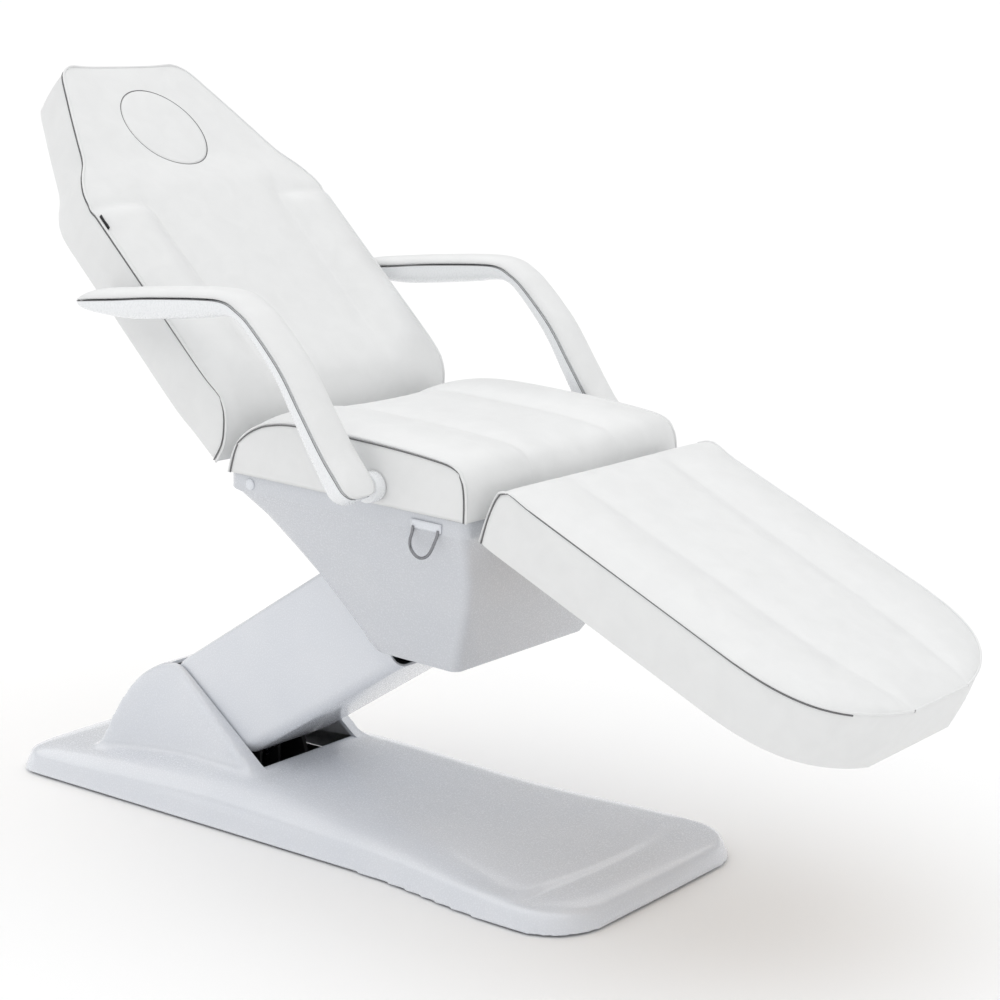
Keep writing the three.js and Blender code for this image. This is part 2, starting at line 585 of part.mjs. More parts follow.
// The back's own frame: X down along the back from the lower edge of its face, Z out of its face.
function buildBack() {
  const lean = BACK.rise * DEG;
  const back = leaningGroup(BACK, lean);
  const local = inLean(BACK, lean);
  const hinge = local(BACK_HINGE.x, BACK_HINGE.z);
  const pin = local(...leverPin(BACK_HINGE));
  const { length, half, thick, board } = BACK;

  const planOf = (inset, low) => outline(symmetric([
    [low, half - inset, 24], [-432, half - inset, 40], [-504, 227 - inset, 40],
    [-696 + inset / 2, 149 - inset, 20], [-length + inset, 112 - inset, 18],
  ]));
  const oval = (inset) =>
    new THREE.Shape().absellipse(-FACE.up, 0, FACE.long - inset, FACE.wide - inset, 0, 2 * Math.PI);
  const hole = upright(oval(0), -120, 20, 16);
  const sideLine = outline([
    [-length - 10, 0], [0, 0, 10], [29, -29, 10], [48, -58, 10], [56, -thick, 4], [-length - 10, -thick],
  ]);
  const padding = toSolid(upright(planOf(0, 58), -thick, 0)).intersect(toSolid(across(sideLine, -300, 300)));
  const pocket = upright(planOf(12 - GAP, 16 + GAP), -thick - 1, board - thick + GAP);
  piece('back_cushion', toGeometry(padding.subtract(toSolid(hole)).subtract(toSolid(pocket))), leather, back);
  piece('back_board', cut(upright(planOf(12, 16), -thick, board - thick), hole), plywood, back);
  piece('face_plug', upright(oval(FACE.play), -FACE.depth, 0, 16), leather, back);

  const railTop = -thick - GAP;
  const railLow = railTop - 24;
  const rails = SIDES.map(([, sign]) => box(-425, 20, ...between(sign, 98, 122), railLow, railTop));
  const cross = [[-425, -401], [-30, -6]].map(([x0, x1]) => box(x0, x1, -110, 110, railLow, railTop));
  const knuckle = outline([
    [-60, railTop, 0], [64, railTop, 8], [hinge[0] + 4, hinge[1] + 13, 10], [hinge[0] + 14, hinge[1] - 10, 12],
    [hinge[0] - 16, railLow, 20], [-60, railLow, 0],
  ]);
  const knuckles = SIDES.map(([, sign]) => across(knuckle, ...between(sign, 98, 106)));
  const sleeve = shaftY(12, ...hinge, -110, 110);
  const frame = join(...rails, ...cross, ...knuckles, sleeve, ...leverPlates(hinge, pin, -28));
  piece('back_frame', cut(frame, shaftY(PIN + GAP, ...hinge, -150, 150),
    shaftY(4 + GAP, ...pin, -45, -10)), steel, back);
  piece('back_lever_pin', shaftY(4, ...pin, -41, -15), bright, back);
}

// ---------------------------------------------------------------- legrest
// The legrest's own frame: X down along it from its hinge, Z out of its face.
function buildLegrest() {
  const lean = LEG.drop * DEG;
  const leg = leaningGroup(LEG, lean);
  const pin = inLean(LEG, lean)(...leverPin(LEG_HINGE));
  const { from, to, half, face, thick, board } = LEG;
  const planOf = (inset) => outline(symmetric([
    [to - inset, half - inset, 185], [from + inset, half - inset, 24],
  ]));
  const low = face - thick;
  const sideLine = outline([
    [from, low, 10], [from - 8, low + 40, 20], [from + 4, face - 8, 14], [from + 30, face, 10],
    [to - 4, face, 16], [to + 3, face - 40, 20], [to - 9, low, 16],
  ]);
  const block = toSolid(upright(outline(symmetric([[to + 4, half, 190], [from - 5, half, 24]])), low, face));
  const padding = block.intersect(toSolid(across(sideLine, -300, 300)));
  const pocket = upright(planOf(14 - GAP), low - 1, low + board + GAP);
  piece('leg_cushion', toGeometry(padding.subtract(toSolid(pocket))), leather, leg);
  piece('leg_board', upright(planOf(14), low, low + board), plywood, leg);
  const railTop = low - GAP;
  const railLow = railTop - 25;
  const rails = SIDES.map(([, sign]) => box(-6, 560, ...between(sign, 150, 175), railLow, railTop));
  const cross = [[290, 315], [535, 560]].map(([x0, x1]) => box(x0, x1, -160, 160, railLow, railTop));
  const sleeve = shaftY(11.5, 0, 0, -192, 192);
  const frame = join(...rails, ...cross, sleeve, ...leverPlates([0, 0], pin, 28));
  piece('leg_frame', cut(frame, shaftY(PIN + GAP, 0, 0, -200, 200),
    shaftY(4 + GAP, ...pin, 10, 45)), steel, leg);
  piece('leg_lever_pin', shaftY(4, ...pin, 15, 41), bright, leg);
}

// ---------------------------------------------------------------- armrests
// The rim is the seam line between the padded top and the moulded shell beneath it.
const RIM_TOP = [[-481, 904], [-336, 917], [-221, 924], [-174, 923], [-150, 913]];
const RIM_LEG = [[-117, 891], [-60, 832], [24, 710], [70, 656]];

function buildArmrests() {
  const lifted = (points, by) => points.map(([x, z, r]) => [x + by, z + by, r]);
  const topShell = outline([
    [-517, 900, 4], ...RIM_TOP, [-157, 898], [-175, 900], [-241, 893], [-386, 880],
    [-447, 878, 10], [-490, 887, 6],
  ]);
  const legShell = outline([
    [-149.4, 912.4], ...RIM_LEG, [62, 637, 12], [32, 637, 16], [4, 683, 20], [-76, 815], [-132, 877, 14],
    [-156.5, 897.4],
  ]);
  const pad = outline([
    [-520, 901.5], [-478, 921, 14], [-336, 935], [-221, 942], [-168, 940, 30], [-100, 901, 30], [-44, 842],
    [38, 721], [90, 659, 8], [78, 647, 6], ...lifted(RIM_LEG, GAP).reverse(), ...lifted(RIM_TOP, GAP).reverse(),
  ]);
  SIDES.forEach(([side, sign]) => {
    const [y0, y1] = between(sign, ARMREST.inner, ARMREST.outer);
    const bore = shaftY(10 + GAP, ARMREST.x, ARMREST.z, ...between(sign, 290, 320));
    piece(`armrest_top_shell_${side}`, across(topShell, y0, y1), gloss);
    piece(`armrest_leg_shell_${side}`, cut(across(legShell, y0, y1), bore), gloss);
    piece(`armrest_pad_${side}`, across(pad, y0, y1), leather);
    const hub = shaftY(24, ARMREST.x, ARMREST.z, ...between(sign, 274, ARMREST.inner - GAP));
    const hubBore = shaftY(10 + GAP, ARMREST.x, ARMREST.z, ...between(sign, 270, 300));
    piece(`armrest_hub_${side}`, cut(hub, hubBore), gloss);
  });
}

buildBase();
buildLiftArm();
buildCarriage();
buildBack();
buildLegrest();
buildArmrests();

export default bed;
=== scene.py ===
"""Looks of the electric facial treatment bed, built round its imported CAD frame.

Metres, +X towards the foot end, +Y towards the sitter's left, +Z up, floor at Z = 0.
Lengths in the builders below are given in millimetres and turned to metres by M or at().
"""
import json
import math

import bmesh
import bpy
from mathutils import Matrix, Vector


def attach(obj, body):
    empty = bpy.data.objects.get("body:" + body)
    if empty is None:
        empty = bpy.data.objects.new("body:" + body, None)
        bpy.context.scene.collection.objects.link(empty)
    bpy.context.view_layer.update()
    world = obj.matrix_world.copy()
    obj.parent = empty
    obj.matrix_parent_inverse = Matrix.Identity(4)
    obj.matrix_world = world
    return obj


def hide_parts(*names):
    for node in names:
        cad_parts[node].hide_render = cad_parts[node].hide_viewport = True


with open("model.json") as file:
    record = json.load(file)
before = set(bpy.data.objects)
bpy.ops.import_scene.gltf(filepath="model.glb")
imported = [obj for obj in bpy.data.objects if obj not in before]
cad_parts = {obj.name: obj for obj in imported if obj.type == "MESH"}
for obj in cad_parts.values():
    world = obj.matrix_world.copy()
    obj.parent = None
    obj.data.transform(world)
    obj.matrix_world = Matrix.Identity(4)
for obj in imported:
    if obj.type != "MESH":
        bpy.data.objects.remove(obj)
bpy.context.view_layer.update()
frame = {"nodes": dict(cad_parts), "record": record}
M = 0.001
MIDDLE = -17.3  # the CAD part's origin lies this far along the X that the sizes below are given in
SIDES = (("right", -1), ("left", 1))


def at(x, y, z):
    return Vector(((x - MIDDLE) * M, y * M, z * M))


# ---------------------------------------------------------------- materials
def material(name, colour, rough, metal=0.0, **sockets):
    mat = bpy.data.materials.new(name)
    mat.use_nodes = True
    shader = mat.node_tree.nodes["Principled BSDF"]
    shader.inputs["Base Color"].default_value = (*colour, 1)
    shader.inputs["Roughness"].default_value = rough
    shader.inputs["Metallic"].default_value = metal
    for key, value in sockets.items():
        shader.inputs[key.replace("_", " ")].default_value = value
    return mat


def wire(mat, out, into):
    mat.node_tree.links.new(out, into)


def node(mat, kind, **values):
    made = mat.node_tree.nodes.new(kind)
    for key, value in values.items():
        if key in made.inputs:
            made.inputs[key].default_value = value
        else:
            setattr(made, key, value)
    return made


def texture(mat, kind, stretch=(1, 1, 1), **values):
    """A procedural texture in the object's own metres, optionally stretched along an axis."""
    coords = node(mat, "ShaderNodeTexCoord")
    scale = node(mat, "ShaderNodeMapping")
    scale.inputs["Scale"].default_value = stretch
    made = node(mat, kind, **values)
    wire(mat, coords.outputs["Object"], scale.inputs["Vector"])
    wire(mat, scale.outputs["Vector"], made.inputs["Vector"])
    return made


def ramp(mat, source, low, high, start=0.3, end=0.7):
    made = node(mat, "ShaderNodeMapRange")
    made.inputs["From Min"].default_value = start
    made.inputs["From Max"].default_value = end
    made.inputs["To Min"].default_value = low
    made.inputs["To Max"].default_value = high
    wire(mat, source, made.inputs["Value"])
    return made.outputs["Result"]


def tint(mat, source, dark, light):
    made = node(mat, "ShaderNodeMix", data_type="RGBA")
    made.inputs[6].default_value = (*dark, 1)
    made.inputs[7].default_value = (*light, 1)
    wire(mat, source, made.inputs[0])
    wire(mat, made.outputs[2], mat.node_tree.nodes["Principled BSDF"].inputs["Base Color"])


def bumps(mat, *layers):
    """Height layers as (output, strength, distance in metres), laid one over the other."""
    last = None
    for source, strength, distance in layers:
        bump = node(mat, "ShaderNodeBump", Strength=strength, Distance=distance)
        wire(mat, source, bump.inputs["Height"])
        if last:
            wire(mat, last.outputs["Normal"], bump.inputs["Normal"])
        last = bump
    wire(mat, last.outputs["Normal"], mat.node_tree.nodes["Principled BSDF"].inputs["Normal"])


def shader_input(mat, name):
    return mat.node_tree.nodes["Principled BSDF"].inputs[name]


def leather_material():
    mat = material("white_leather", (0.785, 0.79, 0.79), 0.46, Specular_IOR_Level=0.42,
                   Coat_Weight=0.08, Coat_Roughness=0.35, Sheen_Weight=0.05)
    grain = texture(mat, "ShaderNodeTexVoronoi", Scale=620.0, feature="DISTANCE_TO_EDGE")
    pores = texture(mat, "ShaderNodeTexNoise", Scale=900.0, Detail=3.0)
    creases = texture(mat, "ShaderNodeTexNoise", Scale=26.0, Detail=5.0, Distortion=0.6)
    wire(mat, ramp(mat, creases.outputs["Fac"], 0.42, 0.5), shader_input(mat, "Roughness"))
    tint(mat, ramp(mat, creases.outputs["Fac"], 0, 1), (0.77, 0.776, 0.776), (0.80, 0.806, 0.806))
    bumps(mat, (grain.outputs["Distance"], 0.16, 0.0004), (pores.outputs["Fac"], 0.10, 0.0002),
          (creases.outputs["Fac"], 0.10, 0.0016))
    return mat


def gloss_material(name, tone_and_shade):
    # The factor scales the whole colour: 0.95 is the moulding's own white, and lower values paint shade into
    # a copy.
    colour = (0.76 * tone_and_shade, 0.785 * tone_and_shade, 0.83 * tone_and_shade)
    mat = material(name, colour, 0.26, Coat_Weight=0.55, Coat_Roughness=0.08,
                   Specular_IOR_Level=0.5)
    ripple = texture(mat, "ShaderNodeTexNoise", Scale=9.0, Detail=2.0)
    skin = texture(mat, "ShaderNodeTexNoise", Scale=420.0, Detail=2.0)
    wire(mat, ramp(mat, skin.outputs["Fac"], 0.22, 0.30), shader_input(mat, "Roughness"))
    tint(mat, ramp(mat, ripple.outputs["Fac"], 0, 1), [tone_and_shade * v for v in (0.745, 0.772, 0.822)],
         [tone_and_shade * v for v in (0.775, 0.798, 0.842)])
    bumps(mat, (ripple.outputs["Fac"], 0.05, 0.002), (skin.outputs["Fac"], 0.03, 0.0001))
    return mat


def shell_material():
    mat = material("armrest_moulding", (0.84, 0.855, 0.87), 0.28, Coat_Weight=0.4, Coat_Roughness=0.1)
    skin = texture(mat, "ShaderNodeTexNoise", Scale=380.0, Detail=2.0)
    wire(mat, ramp(mat, skin.outputs["Fac"], 0.24, 0.32), shader_input(mat, "Roughness"))
    bumps(mat, (skin.outputs["Fac"], 0.03, 0.0001))
    return mat


def coated_steel_material():
    mat = material("black_coated_steel", (0.035, 0.036, 0.04), 0.5, 0.0)
    peel = texture(mat, "ShaderNodeTexNoise", Scale=520.0, Detail=3.0)
    dust = texture(mat, "ShaderNodeTexNoise", Scale=14.0, Detail=4.0)
    wire(mat, ramp(mat, dust.outputs["Fac"], 0.42, 0.62), shader_input(mat, "Roughness"))
    tint(mat, ramp(mat, dust.outputs["Fac"], 0, 1), (0.03, 0.031, 0.034), (0.05, 0.051, 0.056))
    bumps(mat, (peel.outputs["Fac"], 0.25, 0.0003))
    return mat


def bright_steel_material(name, colour):
    mat = material(name, colour, 0.2, 1.0)
    lines = texture(mat, "ShaderNodeTexNoise", (1, 40, 1), Scale=160.0, Detail=2.0)
    wire(mat, ramp(mat, lines.outputs["Fac"], 0.14, 0.28), shader_input(mat, "Roughness"))
    bumps(mat, (lines.outputs["Fac"], 0.06, 0.0001))
    return mat


def plywood_material():
    mat = material("birch_plywood", (0.6, 0.44, 0.27), 0.7)
    rings = texture(mat, "ShaderNodeTexNoise", (4, 60, 60), Scale=1.4, Detail=6.0, Distortion=1.2)
    fibre = texture(mat, "ShaderNodeTexNoise", (12, 300, 300), Scale=2.0, Detail=3.0)
    tint(mat, ramp(mat, rings.outputs["Fac"], 0, 1), (0.50, 0.34, 0.19), (0.68, 0.52, 0.34))
    bumps(mat, (fibre.outputs["Fac"], 0.2, 0.0003))
    return mat


def grained_material(name, colour, rough):
    mat = material(name, colour, rough)
    grain = texture(mat, "ShaderNodeTexNoise", Scale=700.0, Detail=3.0)
    smear = texture(mat, "ShaderNodeTexNoise", Scale=18.0, Detail=3.0)
    wire(mat, ramp(mat, smear.outputs["Fac"], rough - 0.06, rough + 0.06), shader_input(mat, "Roughness"))
    bumps(mat, (grain.outputs["Fac"], 0.2, 0.0002))
    return mat


LEATHER = leather_material()
GLOSS = gloss_material("white_moulding", 0.95)
# A darker copy of the white gloss, with painted shade in its colour, for the shroud under the seat, which is
# the same moulding as the base.
GLOSS_PAINTED_SHADE = gloss_material("seat_moulding_painted_shade", 0.8)
SHELL = shell_material()
STEEL = coated_steel_material()
BRIGHT = bright_steel_material("plated_steel", (0.66, 0.67, 0.69))
CHROME = bright_steel_material("dark_chrome", (0.25, 0.255, 0.27))
PLYWOOD = plywood_material()
RUBBER = grained_material("black_rubber", (0.022, 0.022, 0.024), 0.75)
BLACK = grained_material("black_moulding", (0.03, 0.03, 0.033), 0.42)
# Dark grey for the seams along the armrests and round the breathing hole, and for the painted shade line
# under the cushion welts.
SEAM_AND_SHADE_LINE = grained_material("grey_seam_and_painted_shade", (0.16, 0.16, 0.165), 0.7)
TAG = grained_material("black_tag", (0.012, 0.012, 0.014), 0.6)

SLOT_LOOK = {"leather": LEATHER, "gloss_shell": GLOSS, "steel": STEEL, "bright_steel": BRIGHT,
             "plywood": PLYWOOD, "rubber": RUBBER, "black_plastic": BLACK}
for part in frame["record"]["subparts"]:
    mesh = frame["nodes"][part["node"]].data
    mesh.materials.clear()
    mesh.materials.append(SLOT_LOOK[part["material_slot"]])


# ---------------------------------------------------------------- mesh helpers
def make(name, verts, faces, look, body, smooth=True):
    mesh = bpy.data.meshes.new(name)
    mesh.from_pydata([tuple(v) for v in verts], [], faces)
    tidy = bmesh.new()
    tidy.from_mesh(mesh)
    bmesh.ops.recalc_face_normals(tidy, faces=tidy.faces)
    tidy.to_mesh(mesh)
    tidy.free()
    mesh.polygons.foreach_set("use_smooth", [smooth] * len(mesh.polygons))
    mesh.materials.append(look)
    piece = bpy.data.objects.new(name, mesh)
    bpy.context.scene.collection.objects.link(piece)
    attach(piece, body)
    return piece


def apply_modifiers(piece):
    graph = bpy.context.evaluated_depsgraph_get()
    mesh = bpy.data.meshes.new_from_object(piece.evaluated_get(graph), depsgraph=graph)
    piece.modifiers.clear()
    piece.data = mesh


def smooth_shade(piece, angle=None):
    piece.data.polygons.foreach_set("use_smooth", [True] * len(piece.data.polygons))
    if angle is not None:
        work = bmesh.new()
        work.from_mesh(piece.data)
        for edge in work.edges:
            if len(edge.link_faces) == 2 and edge.calc_face_angle(0) > math.radians(angle):
                edge.smooth = False
        work.to_mesh(piece.data)
        work.free()


def box_skin(na, nb, nc, place):
    """Vertices and quads on the skin of a block of na x nb x nc cells, set where place(i, j, k) says."""
    index, verts, faces = {}, [], []

    def vertex(i, j, k):
        if (i, j, k) not in index:
            index[i, j, k] = len(verts)
            verts.append(place(i, j, k))
        return index[i, j, k]

    def sheet(n, m, point, turned):
        for p in range(n):
            for q in range(m):
                quad = [vertex(*point(p, q)), vertex(*point(p + 1, q)),
                        vertex(*point(p + 1, q + 1)), vertex(*point(p, q + 1))]
                faces.append(quad[::-1] if turned else quad)

    sheet(na, nb, lambda p, q: (p, q, nc), False)
    sheet(na, nb, lambda p, q: (p, q, 0), True)
    sheet(na, nc, lambda p, q: (p, 0, q), False)
    sheet(na, nc, lambda p, q: (p, nb, q), True)
    sheet(nb, nc, lambda p, q: (na, p, q), False)
    sheet(nb, nc, lambda p, q: (0, p, q), True)
    return verts, faces, index


def table(rows, x):
    """Straight lines between [x, y] rows."""
    if x <= rows[0][0]:
        return rows[0][1]
    for (x0, y0), (x1, y1) in zip(rows, rows[1:]):
        if x <= x1:
            return y0 + (y1 - y0) * (x - x0) / (x1 - x0)
    return rows[-1][1]


def eased(rows, x):
    """As table, but with a soft start and end to each step."""
    if x <= rows[0][0]:
        return rows[0][1]
    for (x0, y0), (x1, y1) in zip(rows, rows[1:]):
        if x <= x1:
            f = (x - x0) / (x1 - x0)
            return y0 + (y1 - y0) * f * f * (3 - 2 * f)
    return rows[-1][1]


def smooth_line(points, count):
    """count points spaced evenly along a smooth curve through the given ones."""
    points = [Vector(p) for p in points]
    dense = []
    for i in range(len(points) - 1):
        p0, p1, p2 = points[max(i - 1, 0)], points[i], points[i + 1]
        p3 = points[min(i + 2, len(points) - 1)]
        for step in range(16):
            t = step / 16
            dense.append(0.5 * (2 * p1 + (p2 - p0) * t + (2 * p0 - 5 * p1 + 4 * p2 - p3) * t * t
                                + (3 * p1 - p0 - 3 * p2 + p3) * t ** 3))
    dense.append(points[-1])
    return evenly(dense, count)


def evenly(line, count):
    lengths = [0.0]
    for a, b in zip(line, line[1:]):
        lengths.append(lengths[-1] + (b - a).length)
    out, seg = [], 0
    for i in range(count):
        target = lengths[-1] * i / (count - 1)
        while seg < len(line) - 2 and lengths[seg + 1] < target:
            seg += 1
        span = lengths[seg + 1] - lengths[seg]
        out.append(line[seg].lerp(line[seg + 1], (target - lengths[seg]) / span if span else 0))
    return out


def ring_faces(rings, count, closed=False):
    """Quads that join rings of count points one after the other, with the two end rings as caps."""
    faces = []
    for i in range(rings if closed else rings - 1):
        for j in range(count):
            a, b, on = i * count, i * count + (j + 1) % count, ((i + 1) % rings - i) * count
            faces.append((a + j, b, b + on, a + j + on))
    if not closed:
        faces += [tuple(range(count)), tuple((rings - 1) * count + j for j in range(count))]
    return faces


def tube(name, path, radius, look, body, sides=8, closed=False):
    """A round tube of the given radius in millimetres along a path in metres, ends capped."""
    count = len(path)
    verts, normal = [], None
    for i, p in enumerate(path):
        before = path[(i - 1) % count] if closed or i else path[0]
        after = path[(i + 1) % count] if closed or i < count - 1 else path[-1]
        along = (after - before).normalized()
        if normal is None:
            normal = along.orthogonal().normalized()
        normal = (normal - along * normal.dot(along)).normalized()
        side = along.cross(normal)
        for s in range(sides):
            turn = 2 * math.pi * s / sides
            verts.append(p + (normal * math.cos(turn) + side * math.sin(turn)) * radius * M)
    return make(name, verts, ring_faces(count, sides, closed), look, body)


def lathe(name, profile, centre, look, body, sides=40):
    """Turns a profile of [distance along Y, radius] in millimetres about a Y axis through centre."""
    verts = []
    for y, r in profile:
        for s in range(sides):
            turn = 2 * math.pi * s / sides
            verts.append(at(centre[0] + r * math.cos(turn), centre[1] + y, centre[2] + r * math.sin(turn)))
    piece = make(name, verts, ring_faces(len(profile), sides), look, body)
    smooth_shade(piece, 40)
    return piece


def combine(piece, other, operation):
    """Booleans other, a throwaway object, with piece."""
    mod = piece.modifiers.new("combine", "BOOLEAN")
    mod.object, mod.operation, mod.solver = other, operation, "EXACT"
    apply_modifiers(piece)
    bpy.data.objects.remove(other)


def recoat(piece, look, angle):
    """Gives a piece one material again after booleans, and shades it smooth up to an angle."""
    piece.data.materials.clear()
    piece.data.materials.append(look)
    smooth_shade(piece, angle)


def throwaway(verts, faces):
    mesh = bpy.data.meshes.new("tool")
    mesh.from_pydata([tuple(v) for v in verts], [], faces)
    work = bmesh.new()
    work.from_mesh(mesh)
    bmesh.ops.recalc_face_normals(work, faces=work.faces)
    work.to_mesh(mesh)
    work.free()
    tool = bpy.data.objects.new("tool", mesh)
    bpy.context.scene.collection.objects.link(tool)
    return tool


def cutter(corners_low, corners_high):
    """A throwaway box between two opposite corners in millimetres."""
    low, high = at(*corners_low), at(*corners_high)
    verts, faces, _ = box_skin(1, 1, 1, lambda i, j, k: Vector((
        (low, high)[i].x, (low, high)[j].y, (low, high)[k].z)))
    return throwaway(verts, faces)


def prism(profile, y0, y1):
    """A throwaway solid: a closed [x, z] profile in millimetres, run across from y0 to y1."""
    verts = [at(x, y, z) for y in (y0, y1) for x, z in profile]
    return throwaway(verts, ring_faces(2, len(profile)))


# ---------------------------------------------------------------- cushions
def puff(piece, sewn, pressure, cap):
    """Blows the panels between the sewn points outwards by cloth simulation, by at most cap millimetres."""
    start = [v.co.copy() for v in piece.data.vertices]
    group = piece.vertex_groups.new(name="sewn")
    for index, weight in sewn.items():
        group.add([index], weight, "REPLACE")
    cloth = piece.modifiers.new("cloth", "CLOTH")
    cloth.settings.quality = 6
    cloth.settings.mass = 0.25
    cloth.settings.tension_stiffness = 25
    cloth.settings.compression_stiffness = 25
    cloth.settings.shear_stiffness = 12
    cloth.settings.bending_stiffness = 2
    cloth.settings.vertex_group_mass = "sewn"
    cloth.settings.use_pressure = True
    cloth.settings.uniform_pressure_force = pressure
    cloth.settings.effector_weights.gravity = 0
    cloth.collision_settings.use_collision = False
    scene = bpy.context.scene
    for number in range(1, 21):
        scene.frame_set(number)
    graph = bpy.context.evaluated_depsgraph_get()
    blown = [v.co.copy() for v in piece.evaluated_get(graph).data.vertices]
    piece.modifiers.clear()
    piece.vertex_groups.clear()
    scene.frame_set(1)
    for vertex, old, new in zip(piece.data.vertices, start, blown):
        move = new - old
        if move.length > 1e-9:
            limit = cap * M
            vertex.co = old + move * (limit * math.tanh(move.length / limit) / move.length)


def subdivide(piece, levels=1):
    mod = piece.modifiers.new("smooth", "SUBSURF")
    mod.levels = mod.render_levels = levels
    apply_modifiers(piece)
    smooth_shade(piece)


def steps(start, end, size):
    count = max(1, round(abs(end - start) / size))
    return [start + (end - start) * i / count for i in range(count + 1)]


def valley(distance, depth, width):
    """A sewn channel: depth at its line, gone at width either side."""
    return -depth * math.exp(-((distance / width) ** 2) * 3)


def stand(rows, count=240):
    """A smooth curve through [x, y] rows, for reading by table()."""
    return [(p.x, p.y) for p in smooth_line([(x, y, 0) for x, y in rows], count)]


def coons(near, far, top, bottom):
    """Points inside four edge curves: near and far run up, top and bottom run from near to far."""
    na, nc = len(top) - 1, len(near) - 1

    def point(i, k):
        a, c = i / na, k / nc
        flat = bottom[i] * (1 - c) + top[i] * c + near[k] * (1 - a) + far[k] * a
        corners = (bottom[0] * (1 - a) * (1 - c) + bottom[na] * a * (1 - c)
                   + top[0] * (1 - a) * c + top[na] * a * c)
        return flat - corners

    return point


def wrap_normals(near, top, far):
    """Outward directions along the skin that runs up the near end, over the top and down the far end."""
    line = list(near) + list(top[1:]) + list(far[::-1][1:])
    out = []
    for i in range(len(line)):
        along = (line[min(i + 1, len(line) - 1)] - line[max(i - 1, 0)]).normalized()
        out.append(Vector((-along.y, along.x, 0)))
    return out


def near_end(i):
    """Share of a panel's rise at row i, which is small where it meets the next cushion."""
    return min(1, 0.3 + i / 5)


def crown(inside, height, reach):
    """Rise of a padded panel at a distance inside its sewn edge."""
    return height * (1 - math.exp(-((max(inside, 0) / reach) ** 1.3)))


def crease(piece, index, runs, strength):
    work = bmesh.new()
    work.from_mesh(piece.data)
    work.verts.ensure_lookup_table()
    layer = work.edges.layers.float.get("crease_edge") or work.edges.layers.float.new("crease_edge")
    for run in runs:
        for p, q in zip(run, run[1:]):
            edge = work.edges.get((work.verts[index[p]], work.verts[index[q]]))
            if edge:
                edge[layer] = strength
    work.to_mesh(piece.data)
    work.free()


WELT_RADIUS, SHADE_LINE_RADIUS = 2.1, 1.15
SHADE_LINE_DROP, SHADE_LINE_PROUD = 4.4, 1.0  # the painted shade line's place under the welt and off the side
HELD_CREASE, FOOT_CREASE = 0.85, 0.75


def upholster(name, body, replaced, cells, place, runs, sewn, pressure, cap, shade_line_until=math.inf):
    """A padded piece on a block of cells, with a welt along each sewn run and a dark line beneath it, a
    painted shade of the welt.
    """
    verts, faces, index = box_skin(*cells, place)
    piece = make(name, verts, faces, LEATHER, body)
    held = {index[key]: weight for key in index for weight in [sewn(*key)] if weight > 0}
    puff(piece, held, pressure, cap)
    crease(piece, index, runs, HELD_CREASE)
    na, nb, nc = cells
    foot = [[(i, j, 0) for i in range(na + 1)] for j in (0, nb)]
    foot += [[(i, j, 0) for j in range(nb + 1)] for i in (0, na)]
    crease(piece, index, foot, FOOT_CREASE)
    spot = lambda key: piece.data.vertices[index[key]].co.copy()
    for number, run in enumerate(runs):
        tube(f"{name}_welt_{number}", evenly([spot(key) for key in run], len(run) * 2), WELT_RADIUS, LEATHER,
             body)
        # Beneath each welt, a dark tube on the side panel: a painted shadow of the welt.
        for j in (0, nb):
            line = []
            for key in run:
                inner = (key[0], j, nc - 1) if key[2] == nc else (1 if key[0] == 0 else na - 1, j, key[2])
                if key[1] == j and key[0] <= shade_line_until:
                    start, way = spot(key), spot(inner) - spot(key)
                    proud = Vector((0, math.copysign(SHADE_LINE_PROUD * M, start.y), 0))
                    line.append(start + way.normalized() * SHADE_LINE_DROP * M + proud)
            if len(line) > 3:
                tube(f"{name}_stitch_{number}_{j}", evenly(line, len(line) * 2), SHADE_LINE_RADIUS, SEAM_AND_SHADE_LINE, body)
    subdivide(piece)
    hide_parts(replaced)
    return piece


# Seat: the top panel wraps over the rear and the front, between two flat side panels.
SEAT_HALF, SEAT_SEAM = 271, 112
SEAT_REAR = [(-263, 639), (-259, 652), (-251, 672), (-240, 690)]
SEAT_TOP = [(-240, 690), (-224, 704), (-201, 717), (-170, 727), (-112, 732), (17, 725), (95, 719), (164, 711),
            (196, 705), (212, 696)]
SEAT_FRONT = [(224, 620), (225, 650), (222, 677), (212, 696)]


